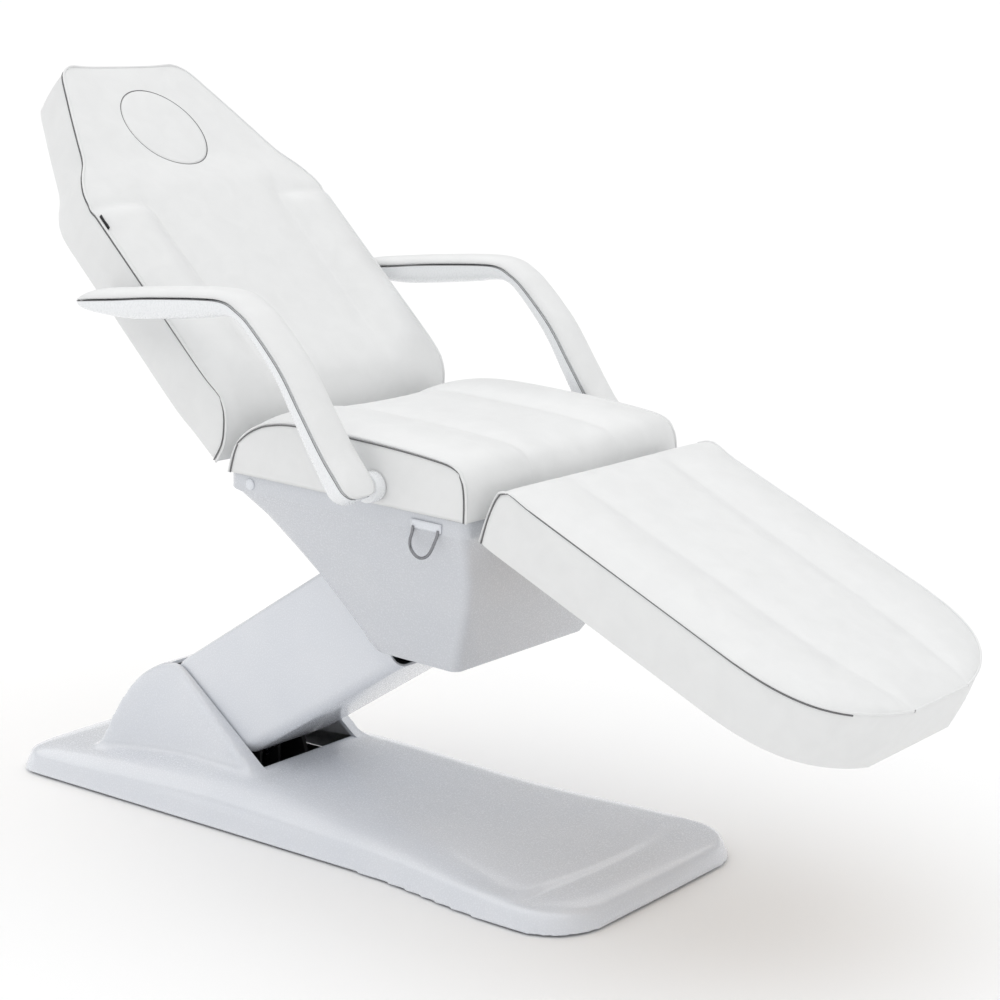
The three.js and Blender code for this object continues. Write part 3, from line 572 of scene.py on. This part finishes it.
def seat_cushion():
    flat = lambda rows, count: smooth_line([(x, z, 0) for x, z in rows], count)
    na, nc = 44, 8
    near, far = flat(SEAT_REAR, nc + 1), flat(SEAT_FRONT, nc + 1)
    top = flat(SEAT_TOP, na + 1)
    bottom = evenly([near[0], far[0]], na + 1)
    fill_in = coons(near, far, top, bottom)
    outward = wrap_normals(near, top, far)
    across = steps(-SEAT_HALF, -SEAT_SEAM, 12)[:-1] + steps(-SEAT_SEAM, SEAT_SEAM, 12) \
        + steps(SEAT_SEAM, SEAT_HALF, 12)[1:]
    nb = len(across) - 1
    seams = [across.index(-SEAT_SEAM), across.index(SEAT_SEAM)]

    def place(i, j, k):
        y = across[j]
        p = fill_in(i, k)
        wrapped = i in (0, na) or k == nc
        if wrapped:
            step = k if i == 0 else nc + i if k == nc else nc + na + (nc - k)
            base = k / nc if i in (0, na) else 1
            rise = crown(SEAT_HALF - abs(y), 5, 26)
            if abs(y) > SEAT_SEAM:
                rise += 7 * math.sin(math.pi * min((abs(y) - SEAT_SEAM) / (SEAT_HALF - SEAT_SEAM), 1)) ** 0.8
            else:
                rise -= 2 * math.cos(math.pi * y / (2 * SEAT_SEAM))
            rise += valley(abs(y) - SEAT_SEAM, 5, 12)
            p = p + outward[step] * rise * min(1, base * 1.6) * near_end(i)
        if j in (0, nb):
            y += math.copysign(2.2 * math.sin(math.pi * k / nc) * min(1, 6 * min(i / na, 1 - i / na)), y)
        return at(p.x, y, p.y)

    def sewn(i, j, k):
        if k == 0 or (j in (0, nb) and (i in (0, na) or k == nc)):
            return 1
        if j in seams and k == nc:
            return 1
        if j in (0, nb):
            return 0.9
        return 0

    runs = []
    for j in (0, nb):
        runs.append([(0, j, k) for k in range(nc + 1)] + [(i, j, nc) for i in range(1, na + 1)]
                    + [(na, j, k) for k in range(nc - 1, -1, -1)])
    return upholster("seat_pad", "carriage", "seat_cushion", (na, nb, nc), place, runs, sewn, 5, 5)


class Slab:
    """A boxed cushion in its own frame: s along it, y across, t down from its face, in millimetres."""

    def __init__(self, origin, along, near, far, half, seam, stations):
        self.origin, self.along = origin, along
        self.out = (-along[1], along[0]) if along[0] > 0 else (along[1], -along[0])
        self.near, self.far = near, far
        self.half, self.seam, self.stations = half, seam, stations

    def world(self, s, y, t):
        return at(self.origin[0] + self.along[0] * s - self.out[0] * t, y,
                  self.origin[1] + self.along[1] * s - self.out[1] * t)


def slab_cushion(name, body, replaced, slab, nc, columns, raised, runs_of, pressure, cap, side_puff=3.0,
                 shade_line_until=math.inf):
    """columns is (outer cells, inner cells); raised(s, y, seam, half) is the face's rise in millimetres."""
    near = smooth_line([(s, -t, 0) for s, t in slab.near], nc + 1)
    far = smooth_line([(s, -t, 0) for s, t in slab.far], nc + 1)
    stations = slab.stations
    na = len(stations) - 1
    top = [Vector((s, 0, 0)) for s in stations]
    top[0], top[-1] = near[-1].copy(), far[-1].copy()
    low, high = near[0].x, far[0].x
    span = stations[-1] - stations[0]
    bottom = [Vector((low + (high - low) * (s - stations[0]) / span, near[0].y, 0)) for s in stations]
    fill_in = coons(near, far, top, bottom)
    outward = wrap_normals(near, top, far)
    outer, inner = columns
    nb = 2 * outer + inner
    half = [table(slab.half, s) for s in stations]
    seam = [table(slab.seam, s) for s in stations]

    def sideways(s, j):
        h, m = table(slab.half, s), table(slab.seam, s)
        if j <= outer:
            return -h + (h - m) * j / outer
        if j >= nb - outer:
            return h - (h - m) * (nb - j) / outer
        return -m + 2 * m * (j - outer) / inner

    def place(i, j, k):
        p = fill_in(i, k)
        y = sideways(p.x, j)
        if i == 0 or k == nc:
            way = Vector((0, 1, 0)) if k == nc and i > na // 2 else outward[k if i == 0 else nc + i]
            weight = min(1, 1.5 * k / nc) * near_end(i)
            rise = raised(p.x, y, seam[i], half[i])
            p = p + way * rise * weight
        if j in (0, nb):
            before, after = max(i - 1, 0), min(i + 1, na)
            lean = Vector((half[before] - half[after], stations[after] - stations[before], 0)).normalized()
            bulge = side_puff * math.sin(math.pi * k / nc) * min(1, 6 * i / na)
            p = p + Vector((lean.x * bulge, 0, 0))
            y += math.copysign(lean.y * bulge, y)
        elif i == na:
            p = p + Vector((side_puff * math.sin(math.pi * k / nc), 0, 0))
        return slab.world(p.x, y, -p.y)

    def sewn(i, j, k):
        if k == 0 or (k == nc and (j in (0, nb) or i == na)) or (i == 0 and j in (0, nb)):
            return 1
        if k == nc and j in (outer, nb - outer) and runs_of(stations[i]):
            return 1
        return 0

    runs = [[(0, 0, k) for k in range(nc + 1)] + [(i, 0, nc) for i in range(1, na + 1)]
            + [(na, j, nc) for j in range(1, nb + 1)] + [(i, nb, nc) for i in range(na - 1, -1, -1)]
            + [(0, nb, k) for k in range(nc - 1, -1, -1)]]
    return upholster(name, body, replaced, (na, nb, nc), place, runs, sewn, pressure, cap, shade_line_until)


R45 = math.sqrt(0.5)
BACK = Slab(
    (-270.6, 755), (-R45, R45),
    near=[(-56, 92.3), (-49, 58), (-30, 29), (-12, 11), (10, 1)], far=[(721, 92.3), (722, 46), (721, 0)],
    half=stand([(-60, 266), (-21, 269), (13, 272), (56, 277), (200, 277), (380, 277), (415, 276), (440, 270),
                (470, 254), (504, 229), (550, 210), (600, 190), (650, 169), (690, 152), (705, 143),
                (716, 129), (721, 114)]),
    seam=stand([(-60, 148), (144, 150), (404, 158), (440, 152), (504, 128), (600, 104), (721, 62)]),
    stations=steps(10, 404, 12) + steps(404, 690, 12)[1:] + [700, 708, 714, 718.5, 721],
)
CROSS_SEAM = 404


def back_cushion():
    def raised(s, y, seam, half):
        rise = crown(half - abs(y), 5, 28) * eased([(425, 1), (520, -1)], s)
        lower = eased([(CROSS_SEAM - 30, 1), (CROSS_SEAM + 4, 0)], s)
        if abs(y) > seam:
            rise += lower * 13 * math.sin(math.pi * min((abs(y) - seam) / (half - seam), 1)) ** 0.75
            rise += valley(s - CROSS_SEAM, 3.5, 10)
        rise += valley(abs(y) - seam, 5, 12) * eased([(60, 0.3), (150, 1), (CROSS_SEAM, 1), (470, 0)], s)
        return rise

    pad = slab_cushion("back_pad", "back", "back_cushion", BACK, 8, (10, 22), raised,
                       lambda s: 60 < s <= CROSS_SEAM, 5, 3.5)
    cut_pocket(pad, BACK, [(-17, 266), (432, 266), (504, 216.5), (690, 138), (709.8, 101)], 84)
    rim = [surface_of(pad, turn) for turn in RIM_TURNS]
    cut_hole(pad)
    long, wide = FACE_LONG - 0.8, FACE_WIDE - 0.8
    line = [BACK.world(FACE_UP + long * math.cos(turn), wide * math.sin(turn), t + 0.5)
            for turn, t in zip(RIM_TURNS, rim)]
    tube("face_hole_edge", line, 0.8, SEAM_AND_SHADE_LINE, "back", closed=True)
    return rim


FACE_UP, FACE_LONG, FACE_WIDE = 573, 89.8, 82.8
RIM_TURNS = [2 * math.pi * i / 96 for i in range(96)]


def surface_of(pad, turn):
    """How far the pad's face lies from the slab's face plane on the rim of the breathing hole."""
    s, y = FACE_UP + FACE_LONG * math.cos(turn), FACE_WIDE * math.sin(turn)
    start, end = BACK.world(s, y, -60), BACK.world(s, y, 60)
    hit, spot, _, _ = pad.ray_cast(start, (end - start).normalized())
    return (spot - start).length / M - 60 if hit else -4.0


def cut_pocket(pad, slab, half_plan, t):
    """Cuts the recess for the board out of a pad's underside."""
    plan = list(half_plan) + [(s, -y) for s, y in half_plan[::-1]]
    verts = [slab.world(s, y, depth) for depth in (t, t + 40) for s, y in plan]
    combine(pad, throwaway(verts, ring_faces(2, len(plan))), "DIFFERENCE")
    smooth_shade(pad, 50)


def cut_hole(pad):
    verts = [BACK.world(FACE_UP + FACE_LONG * math.cos(turn), FACE_WIDE * math.sin(turn), t)
             for t in (-40, 130) for turn in RIM_TURNS]
    combine(pad, throwaway(verts, ring_faces(2, len(RIM_TURNS))), "DIFFERENCE")
    smooth_shade(pad, 50)


def face_plug(rim):
    """The plug of the breathing hole: a round pad, level with the rim around it, with a flat underside."""
    sides, radius, narrow = 96, 88.4, FACE_LONG - FACE_WIDE
    rings = [(79, 0), (79, 30), (79, 60), (79, 80), (78, radius - 1), (74, radius), (12, radius),
             (0.8, radius - 0.1), (-0.3, radius - 1.2), (-0.9, radius - 5), (-1.4, radius - 20), (-1.8, 46),
             (-2.0, 22), (-2.1, 0)]
    verts, faces = [], []
    mean = sum(rim) / len(rim)
    for t, r in rings:
        if r == 0:
            verts.append(BACK.world(FACE_UP, 0, t + (mean if t < 5 else 0)))
            continue
        for turn, level in zip(RIM_TURNS, rim):
            shift = mean + (level - mean) * r / radius if t < 5 else 0
            verts.append(BACK.world(FACE_UP + r * math.cos(turn), (r - narrow * r / radius) * math.sin(turn),
                                    t + shift))
    last = len(verts) - 1
    for ring in range(len(rings) - 3):
        first = 1 + ring * sides
        for i in range(sides):
            j = (i + 1) % sides
            faces.append((first + i, first + j, first + sides + j, first + sides + i))
    for i in range(sides):
        faces.append((0, 1 + (i + 1) % sides, 1 + i))
        faces.append((last, last - sides + i, last - sides + (i + 1) % sides))
    plug = make("face_plug_pad", verts, faces, LEATHER, "face_plug")
    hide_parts("face_plug")


LEG_DROP = math.radians(24.7)
LEG_ALONG = (math.cos(LEG_DROP), -math.sin(LEG_DROP))
LEG_SHADE_LINE_END = 49  # row where the painted shade line under the welt ends, before the rounded front corner
LEG_HALF = [(36, 253), (46, 261), (60, 264.5), (75, 265), (440, 265), (500, 264), (545, 258), (580, 246),
            (608, 229), (632, 205), (651, 176), (666, 143), (677, 106), (683, 75)]


LEG = Slab(
    (196 + 110 * math.sin(LEG_DROP), 604 + 110 * math.cos(LEG_DROP)), LEG_ALONG,
    near=[(45, 100), (38, 62), (39, 28), (48, 9), (68, 0.5)], far=[(674, 100), (681, 50), (683, 0)],
    half=stand(LEG_HALF),
    seam=stand([(36, 122), (73, 120), (349, 110), (473, 109), (560, 102), (631, 90), (683, 80)]),
    stations=steps(68, 596, 12) + [607, 618, 628, 638, 647, 655, 662, 668, 673, 677, 680, 682, 683],
)


def leg_cushion():
    def raised(s, y, seam, half):
        edge = min(half - abs(y), 683 - s)
        rise = crown(edge, 8, 22) - 7
        ends = eased([(60, 0), (110, 1), (600, 1), (676, 0)], s)
        if abs(y) > seam:
            rise += ends * 2.5 * math.sin(math.pi * min((abs(y) - seam) / (half - seam), 1)) ** 0.8
        rise += valley(abs(y) - seam, 4.5, 12) * eased([(40, 0.4), (110, 1), (620, 1), (682, 0.2)], s)
        return rise

    pad = slab_cushion("leg_pad", "legrest", "leg_cushion", LEG, 8, (10, 18), raised,
                       lambda s: s < 660, 5, 1.5, shade_line_until=LEG_SHADE_LINE_END)
    cut_pocket(pad, LEG, [(58.5, 253.8), (484, 253.8), (570, 246), (625, 208), (660, 150), (669.8, 68)], 89.6)


seat_cushion()
face_plug(back_cushion())
leg_cushion()


# ---------------------------------------------------------------- armrests
RIM = [(-518, 900), (-481, 903.5), (-410, 909.5), (-336, 916.5), (-221, 923.5), (-174, 922.5), (-147, 911.5),
       (-117, 890.5), (-60, 831.5), (-18, 770.5), (24, 709.5), (56, 670.5), (74, 648.5)]
UNDER = [(-517.5, 897.5), (-488, 885.5), (-410, 879.5), (-345, 882.5), (-235, 893), (-190, 899), (-160, 898),
         (-133, 880.5), (-77, 816.5), (-38, 752.5), (0, 688.5), (26, 648.5), (48, 634.5)]
OUTER = [(-522, 901.5), (-482, 919.5), (-410, 927.5), (-336, 934), (-216, 941), (-162, 936.5), (-127, 919.5),
         (-98, 896.5), (-43, 839.5), (-2, 780.5), (39, 720.5), (71, 682.5), (88, 654.5)]
ARM_MID, ARM_HALF = 331, 33.8
ARM_ENDS, ARM_DRAW_IN = (34, 22), 0.62  # length of each rounded end, and how far it draws in
SPLIT = 50  # station where the top shell meets the leg shell


def arm_stations():
    """Matching points of the rim, the shell's underside and the pad's crest."""
    lines = []
    for points in (RIM, UNDER, OUTER):
        rows = []
        for i in range(len(points) - 1):
            p0, p1 = Vector((*points[max(i - 1, 0)], 0)), Vector((*points[i], 0))
            p2, p3 = Vector((*points[i + 1], 0)), Vector((*points[min(i + 2, len(points) - 1)], 0))
            for step in range(8):
                t = step / 8
                rows.append(0.5 * (2 * p1 + (p2 - p0) * t + (2 * p0 - 5 * p1 + 4 * p2 - p3) * t * t
                                   + (3 * p1 - p0 - 3 * p2 + p3) * t ** 3))
        rows.append(Vector((*points[-1], 0)))
        lines.append(rows)
    return list(zip(*lines))


def lengths_along(rows):
    """Distance of each station along the rim from the first."""
    lengths = [0.0]
    for a, b in zip(rows, rows[1:]):
        lengths.append(lengths[-1] + (b[0] - a[0]).length)
    return lengths


def arm_width(distance, total, ends):
    """Half width of the armrest, drawn in over the given length at each end."""
    width = ARM_HALF
    for from_end, radius in ((distance, ends[0]), (total - distance, ends[1])):
        if radius and from_end < radius:
            width -= ARM_HALF * ARM_DRAW_IN * (1 - math.sqrt(max(1 - (1 - from_end / radius) ** 2, 0)))
    return width


def arm_solid(name, sign, stations, first, last, pick, power, look, body, lift=0.0, ends=(0, 0)):
    """A half-rounded bar between the rim line and another line, across the armrest's width."""
    half_ring = 16
    verts = []
    rows = stations[first:last + 1]
    lengths = lengths_along(rows)
    for row, distance in zip(rows, lengths):
        rim, other = row[0], row[pick]
        depth = other - rim
        if depth.length > 1e-6:
            rim = rim + depth.normalized() * lift
            depth = other - rim
        width = arm_width(distance, lengths[-1], ends)
        for step in range(half_ring + 1):
            turn = math.pi * step / half_ring
            c, s = math.cos(turn), math.sin(turn)
            y = math.copysign(abs(c) ** (2 / power), c) * width
            p = rim + depth * (abs(s) ** (2 / power))
            verts.append(at(p.x, sign * ARM_MID + y, p.y))
    piece = make(name, verts, ring_faces(len(rows), half_ring + 1), look, body)
    smooth_shade(piece, 35)
    return piece


def armrests():
    stations = arm_stations()
    final = len(stations) - 1
    for side, sign in SIDES:
        body = f"armrest_{side}"
        pad = arm_solid(f"arm_pad_{side}", sign, stations, 0, final, 2, 2.6, LEATHER, body, 0.5,
                        ends=ARM_ENDS)
        subdivide(pad)
        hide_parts(f"armrest_pad_{side}")
        top = arm_solid(f"arm_top_shell_{side}", sign, stations, 0, SPLIT, 1, 3.4, SHELL, body,
                        ends=(ARM_ENDS[0], 0))
        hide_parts(f"armrest_top_shell_{side}")
        leg = arm_solid(f"arm_leg_shell_{side}", sign, stations, SPLIT, final, 1, 3.4, SHELL, body,
                        ends=(0, ARM_ENDS[1]))
        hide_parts(f"armrest_leg_shell_{side}")
        for edge, way in (("in", -1), ("out", 1)):
            lengths = lengths_along(stations)
            path = []
            for row, distance in zip(stations, lengths):
                width = arm_width(distance, lengths[-1], ARM_ENDS)
                path.append(at(row[0].x, sign * ARM_MID + sign * way * width, row[0].y))
            tube(f"arm_seam_{edge}_{side}", evenly(path, 160), 0.55, SEAM_AND_SHADE_LINE, body, sides=6)
        lathe(f"arm_hub_{side}_cover", [(0, 21), (1.2, 23.2), (4, 24), (19, 24), (21.5, 23), (22.6, 20)],
              (50, 274.2 if sign > 0 else -296.8, 656), SHELL, body)
        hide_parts(f"armrest_hub_{side}")


armrests()


# ---------------------------------------------------------------- moulded covers
BASE_REAR, BASE_FRONT, BASE_BULGE, SPLAY = -888, 383, 4.5, 13
REAR_CORNER, FRONT_CORNER, LIP = 58, 84, 34
DECK = stand([(-888, 48), (-700, 60), (-373, 83), (-40, 65), (270, 48.5), (288, 47.5)], 200)


def base_half(x, inset):
    half = eased([(-60, 212), (290, 243)], x) - inset
    for distance, corner in ((x - BASE_REAR - inset, REAR_CORNER), (BASE_FRONT - inset - x, FRONT_CORNER)):
        radius = corner - inset
        into = max(radius - distance, 0)
        half -= radius - math.sqrt(max(radius * radius - into * into, 0))
    return half


def deck_height(x, v, y, inset):
    """A shallow pillow, with a shallow step in an arc near the front edge."""
    end = min(x - BASE_REAR, BASE_FRONT - x, 110) / 110
    fall = math.sqrt(max(1 - abs(v) ** 5, 0)) * math.sqrt(max(1 - (1 - end) ** 4, 0))
    arc = x - (303 - 26 * (y / 224) ** 2)
    crown_here = table(DECK, x) - 5.0 * eased([(0, 0), (9, 1)], arc) * eased([(-238, 0), (-226, 1)], -abs(y))
    return LIP + (crown_here - LIP) * fall - inset


def splay_at(x, inset):
    """Which way the skirt spreads at a place along the base, as lengthwise and sideways parts."""
    rear = max(1 - (x - BASE_REAR - inset) / (REAR_CORNER - inset), 0)
    front = max(1 - (BASE_FRONT - inset - x) / (FRONT_CORNER - inset), 0)
    lengthwise = front - rear
    return lengthwise, math.sqrt(max(1 - lengthwise ** 2, 0))


def block_of_base(inset, floor):
    ends = [0, 1.5, 4, 8, 14, 22, 32, 44, 58]
    length = BASE_FRONT - BASE_REAR - 2 * inset
    stations = ends + steps(72, length - 118, 14) + steps(length - 112, length - 62, 4) \
        + [length - e for e in ends[::-1]]
    stations = sorted(set(round(v, 3) for v in stations))
    spread = [-1, -0.995, -0.985, -0.965, -0.93, -0.88, -0.8, -0.7, -0.58, -0.45, -0.3, -0.15, 0]
    spread += [-v for v in spread[-2::-1]]
    na, nb, nc = len(stations) - 1, len(spread) - 1, 4

    def place(i, j, k):
        x = BASE_REAR + inset + stations[i]
        half = max(base_half(x, inset), 1)
        y = spread[j] * half
        if stations[i] > length - 140:
            x += BASE_BULGE * (1 - (y / 257) ** 2) * eased([(length - 140, 0), (length, 1)], stations[i])
        high = deck_height(x - (BASE_BULGE if stations[i] > length - 5 else 0), spread[j], y, inset)
        if j in (0, nb) or i in (0, na):
            forward, out = splay_at(x, inset)
            spread_here = SPLAY * (1 - k / nc)
            x += forward * spread_here
            y += math.copysign(out, y) * spread_here if j in (0, nb) else 0
        return at(x, y, floor + (high - floor) * k / nc)

    return box_skin(na, nb, nc, place)[:2]


HUMP = [(-752, 30), (-744, 62), (-722, 99), (-692, 150), (-655, 196), (-610, 225), (-572, 236.5),
        (-556, 236), (-540, 229), (-520, 214), (-356, 88), (-336, 70), (-330, 30)]


def block_of_hump(inset):
    line = [(p.x, p.y) for p in smooth_line([(x, z, 0) for x, z in HUMP], 70)]
    verts = []
    ring = 12
    for x, z in line:
        inward = inset if x < -561 else -inset
        half = 150 - 26 * (z - 60) / 176 - inset
        for step in range(ring + 1):
            turn = math.pi * step / ring
            c, s = math.cos(turn), math.sin(turn)
            y = math.copysign(abs(c) ** 0.12, c) * half
            rise = 0.0 if step in (0, ring) else 1 - 0.045 * (1 - s ** 0.5)
            verts.append(at(x + inward, y, 20 + (z - inset - 20) * rise))
    return verts, ring_faces(len(line), ring + 1)


def relax(piece, rounds, factor, keep):
    """Softens a mesh where keep(position in millimetres) is under 1."""
    work = bmesh.new()
    work.from_mesh(piece.data)
    for _ in range(rounds):
        moved = []
        for v in work.verts:
            loose = factor * (1 - keep(v.co.x / M + MIDDLE, v.co.y / M, v.co.z / M))
            if loose > 0:
                middle = sum((e.other_vert(v).co for e in v.link_edges), Vector()) / len(v.link_edges)
                moved.append((v, v.co.lerp(middle, loose)))
        for v, co in moved:
            v.co = co
    work.to_mesh(piece.data)
    work.free()


SLOT_HALF, SLOT_REAR, SLOT_FRONT = 115.5, -576, -373


def base_cover():
    verts, faces = block_of_base(0, 4)
    cover = make("base_moulding", verts, faces, GLOSS, "base")
    combine(cover, throwaway(*block_of_hump(0)), "UNION")
    remesh = cover.modifiers.new("remesh", "REMESH")
    remesh.mode, remesh.voxel_size = "VOXEL", 4.5 * M
    apply_modifiers(cover)

    def keep(x, y, z):
        foot = max(0, 1 - abs(z - 76) / 46)
        near = eased([(-790, 0), (-760, 1), (-330, 1), (-300, 0)], x) * eased([(-185, 0), (-160, 1)], -abs(y))
        return 1 - max(0.35, foot * near)

    relax(cover, 4, 0.6, keep)
    relax(cover, 10, 0.6, lambda x, y, z: 0 if keep(x, y, z) < 0.5 else 1)
    relax(cover, 4, 0.5, lambda x, y, z: 1 if z < 9 else 0)
    hollow = throwaway(*block_of_base(4.5, -8))
    combine(hollow, throwaway(*block_of_hump(5)), "UNION")
    combine(cover, hollow, "DIFFERENCE")
    opening = prism([(SLOT_REAR, 190), (SLOT_REAR, 330), (-333, 330), (-333, 83.4), (SLOT_FRONT, 83.4),
                     (SLOT_FRONT, 50)], -SLOT_HALF, SLOT_HALF)
    combine(cover, opening, "DIFFERENCE")
    combine(cover, cutter((-912, 38, 10), (-880, 82, 31)), "DIFFERENCE")
    recoat(cover, GLOSS, 32)
    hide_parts("base_cover")


# The arm's own frame: a along it from its base pivot, n square to it.
LIFT = (-493, 162)
ARM_ANGLE = math.radians(32)


def in_arm(a, y, n):
    return at(LIFT[0] + a * math.cos(ARM_ANGLE) - n * math.sin(ARM_ANGLE), y,
              LIFT[1] + a * math.sin(ARM_ANGLE) + n * math.cos(ARM_ANGLE))


def arm_section(half, top, low, round_top, round_low):
    """Points of the arm's cross section as (y, n)."""
    points = []
    for cy, cn, radius, start in ((half - round_top, top - round_top, round_top, 0),
                                  (-half + round_top, top - round_top, round_top, 90),
                                  (-half + round_low, low + round_low, round_low, 180),
                                  (half - round_low, low + round_low, round_low, 270)):
        for step in range(8):
            turn = math.radians(start + 90 * step / 7)
            points.append((cy + radius * math.cos(turn), cn + radius * math.sin(turn)))
    return points


def arm_skin(inset, start, end):
    verts = []
    stations = steps(start, end, 16)
    for a in stations:
        top = 100 - inset
        if a < 0:
            top = math.sqrt(max((100 - inset) ** 2 - a * a, 4))
        low = -104 + inset
        section = arm_section(112 - inset, top, low, max(10 - inset, 3), max(24 - inset, 3))
        verts += [in_arm(a, y, n) for y, n in section]
    return verts, ring_faces(len(stations), 32)


def arm_cover():
    verts, faces = arm_skin(0, -96, 455)
    cover = make("lift_arm_moulding", verts, faces, GLOSS, "lift_arm")
    combine(cover, throwaway(*arm_skin(3.5, -92.5, 462)), "DIFFERENCE")
    under_sides = ((-130, 0), (-71, -71), (50, -99), (50, -140), (-130, -140))
    open_rear = ((-130, 0), (48, 0), (48, -140), (-130, -140))
    for corners, reach in ((under_sides, 200), (open_rear, 108.5)):
        low = [in_arm(a, 0, n) for a, n in corners]
        combine(cover, prism([(p.x / M + MIDDLE, p.z / M) for p in low], -reach, reach), "DIFFERENCE")
    recoat(cover, GLOSS, 30)
    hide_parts("lift_arm_cover")


SEAT_TILT = math.radians(2.35)


def in_seat(x, y, z):
    """A point of the seat's own frame, whose Z = 0 is the cushion's underside."""
    return at(x * math.cos(SEAT_TILT) + z * math.sin(SEAT_TILT), y,
              628 - x * math.sin(SEAT_TILT) + z * math.cos(SEAT_TILT))


SHROUD = [  # rear, front, half width, corner radius, height
    (-275, 218, 264, 26, -1), (-275, 218, 264, 26, -26), (-274, 217.5, 263, 27, -28),
    (-266, 214, 260, 34, -32), (-228, 206, 244, 42, -66), (-190, 196, 226, 48, -110),
    (-150, 180, 208, 50, -156), (-112, 158, 190, 50, -206), (-88, 142, 178, 50, -240),
    (-74, 134, 171, 50, -262), (-64, 128, 166, 48, -272), (-52, 118, 156, 44, -276),
]


NOTCH_Z = -56  # the notches that the legrest's rails pass through end here


def shroud_skin(inset, levels):
    verts = []
    per = 9
    for rear, front, half, corner, z in levels:
        x0, x1, w, r = rear + inset, front - inset, half - inset, max(corner - inset * 0.6, 4)
        f = min(r, 15)
        for cx, cy, start, r in ((x1 - f, w - f, 0, f), (x0 + r, w - r, 90, r), (x0 + r, -w + r, 180, r),
                                 (x1 - f, -w + f, 270, f)):
            for step in range(per):
                turn = math.radians(start + 90 * step / (per - 1))
                verts.append(in_seat(cx + r * math.cos(turn), cy + r * math.sin(turn), z))
    return verts, ring_faces(len(levels), 4 * per)


def seat_box(low, high):
    corners = [[low[0], high[0]], [low[1], high[1]], [low[2], high[2]]]
    verts, faces, _ = box_skin(1, 1, 1, lambda i, j, k: in_seat(corners[0][i], corners[1][j], corners[2][k]))
    return throwaway(verts, faces)


def shroud():
    verts, faces = shroud_skin(0, SHROUD)
    cover = make("seat_moulding", verts, faces, GLOSS, "carriage")
    inner = [(*row[:4], row[4] + 4) for row in SHROUD]
    inner[0] = (*inner[0][:4], 8)
    combine(cover, throwaway(*shroud_skin(3.5, inner)), "DIFFERENCE")
    for low, high in (((-330, -125, -330), (25, 125, 20)), ((-300, -170, -60), (-240, 170, 20)),
                      ((180, 10, -120), (240, 46, -20)), ((190, -180, NOTCH_Z), (240, -146, 20)),
                      ((190, 146, NOTCH_Z), (240, 180, 20))):
        combine(cover, seat_box(low, high), "DIFFERENCE")
    # The shroud takes the darker copy of the gloss: painted shade.
    recoat(cover, GLOSS_PAINTED_SHADE, 30)
    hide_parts("seat_shroud")


def hanger():
    """The chrome loop that the handset hangs from, on the shroud's right edge."""
    rows = [(120, -267, -20), (119, -268, -31), (117, -270, -42), (119, -271, -53), (127, -271.5, -62),
            (138, -271.5, -66), (150, -271, -62), (158, -270, -52), (163, -269, -40), (167, -267.5, -29),
            (168, -266.5, -20)]
    loop = smooth_line([in_seat(*row) for row in rows], 70)
    ring = tube("handset_loop", loop, 2.4, CHROME, "carriage", sides=14)
    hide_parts("handset_hanger")
    verts, faces, _ = box_skin(10, 2, 4, lambda i, j, k: in_seat(
        114 + 5.9 * i, -264.4 - 1.1 * j - 0.6 * math.sin(math.pi * i / 10), -24 + 3.5 * k))
    make("handset_clip", verts, faces, GLOSS, "carriage")


def screws():
    for side, sign in SIDES:
        here = in_seat(-222, 0, -15)
        x, z = here.x / M + MIDDLE, here.z / M
        cap = lathe(f"screw_cap_{side}", [(0, 9), (1.4, 9), (2.4, 7.8), (2.8, 5), (2.9, 0.4)] if sign > 0 else
                    [(-2.9, 0.4), (-2.8, 5), (-2.4, 7.8), (-1.4, 9), (0, 9)], (x, sign * 264.3, z), GLOSS,
                    "carriage", 32)
        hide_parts(f"shroud_screw_{side}")


def tag():
    """A small blank cloth tag sewn into the near edge of the back."""
    def place(i, j, k):
        s = 357 + 28 * i / 8
        return BACK.world(s, -275.5 + 1.2 * k + 0.4 * math.sin(i), -1 - 5.5 * j / 3)
    verts, faces, _ = box_skin(8, 3, 1, place)
    make("edge_tag", verts, faces, TAG, "back")


base_cover()
arm_cover()
shroud()
hanger()
screws()
tag()


# ---------------------------------------------------------------- floor, light and camera
floor_mat = material("pale_floor", (0.95, 0.95, 0.95), 0.7, Specular_IOR_Level=0.2)
floor_mesh = bpy.data.meshes.new("floor")
rims = [(x * reach, y * reach, z) for reach, z in ((24, 0), (36, 6))
        for x, y in ((-1, -1), (1, -1), (1, 1), (-1, 1))]
floor_mesh.from_pydata(rims, [], ring_faces(2, 4)[:-1])
floor_mesh.materials.append(floor_mat)
floor = bpy.data.objects.new("floor", floor_mesh)
bpy.context.scene.collection.objects.link(floor)

world = bpy.data.worlds.new("studio")
world.use_nodes = True
world.node_tree.nodes["Background"].inputs["Color"].default_value = (1, 1, 1, 1)
world.node_tree.nodes["Background"].inputs["Strength"].default_value = 0.46
bpy.context.scene.world = world

overhead = bpy.data.lights.new("overhead", "SUN")
overhead.energy, overhead.angle = 2.05, math.radians(122)
lamp = bpy.data.objects.new("overhead", overhead)
lamp.rotation_euler = (math.radians(4), math.radians(-3), 0)
bpy.context.scene.collection.objects.link(lamp)

bpy.context.scene.view_settings.view_transform = "Standard"
lens = bpy.data.cameras.new("camera")
lens.lens, lens.sensor_width = 80.53, 36
camera = bpy.data.objects.new("camera", lens)
camera.location = (2.244 - MIDDLE * M, -2.7324, 1.32)
camera.rotation_euler = (math.radians(78.220), 0, math.radians(38.482))
bpy.context.scene.collection.objects.link(camera)
bpy.context.scene.camera = camera
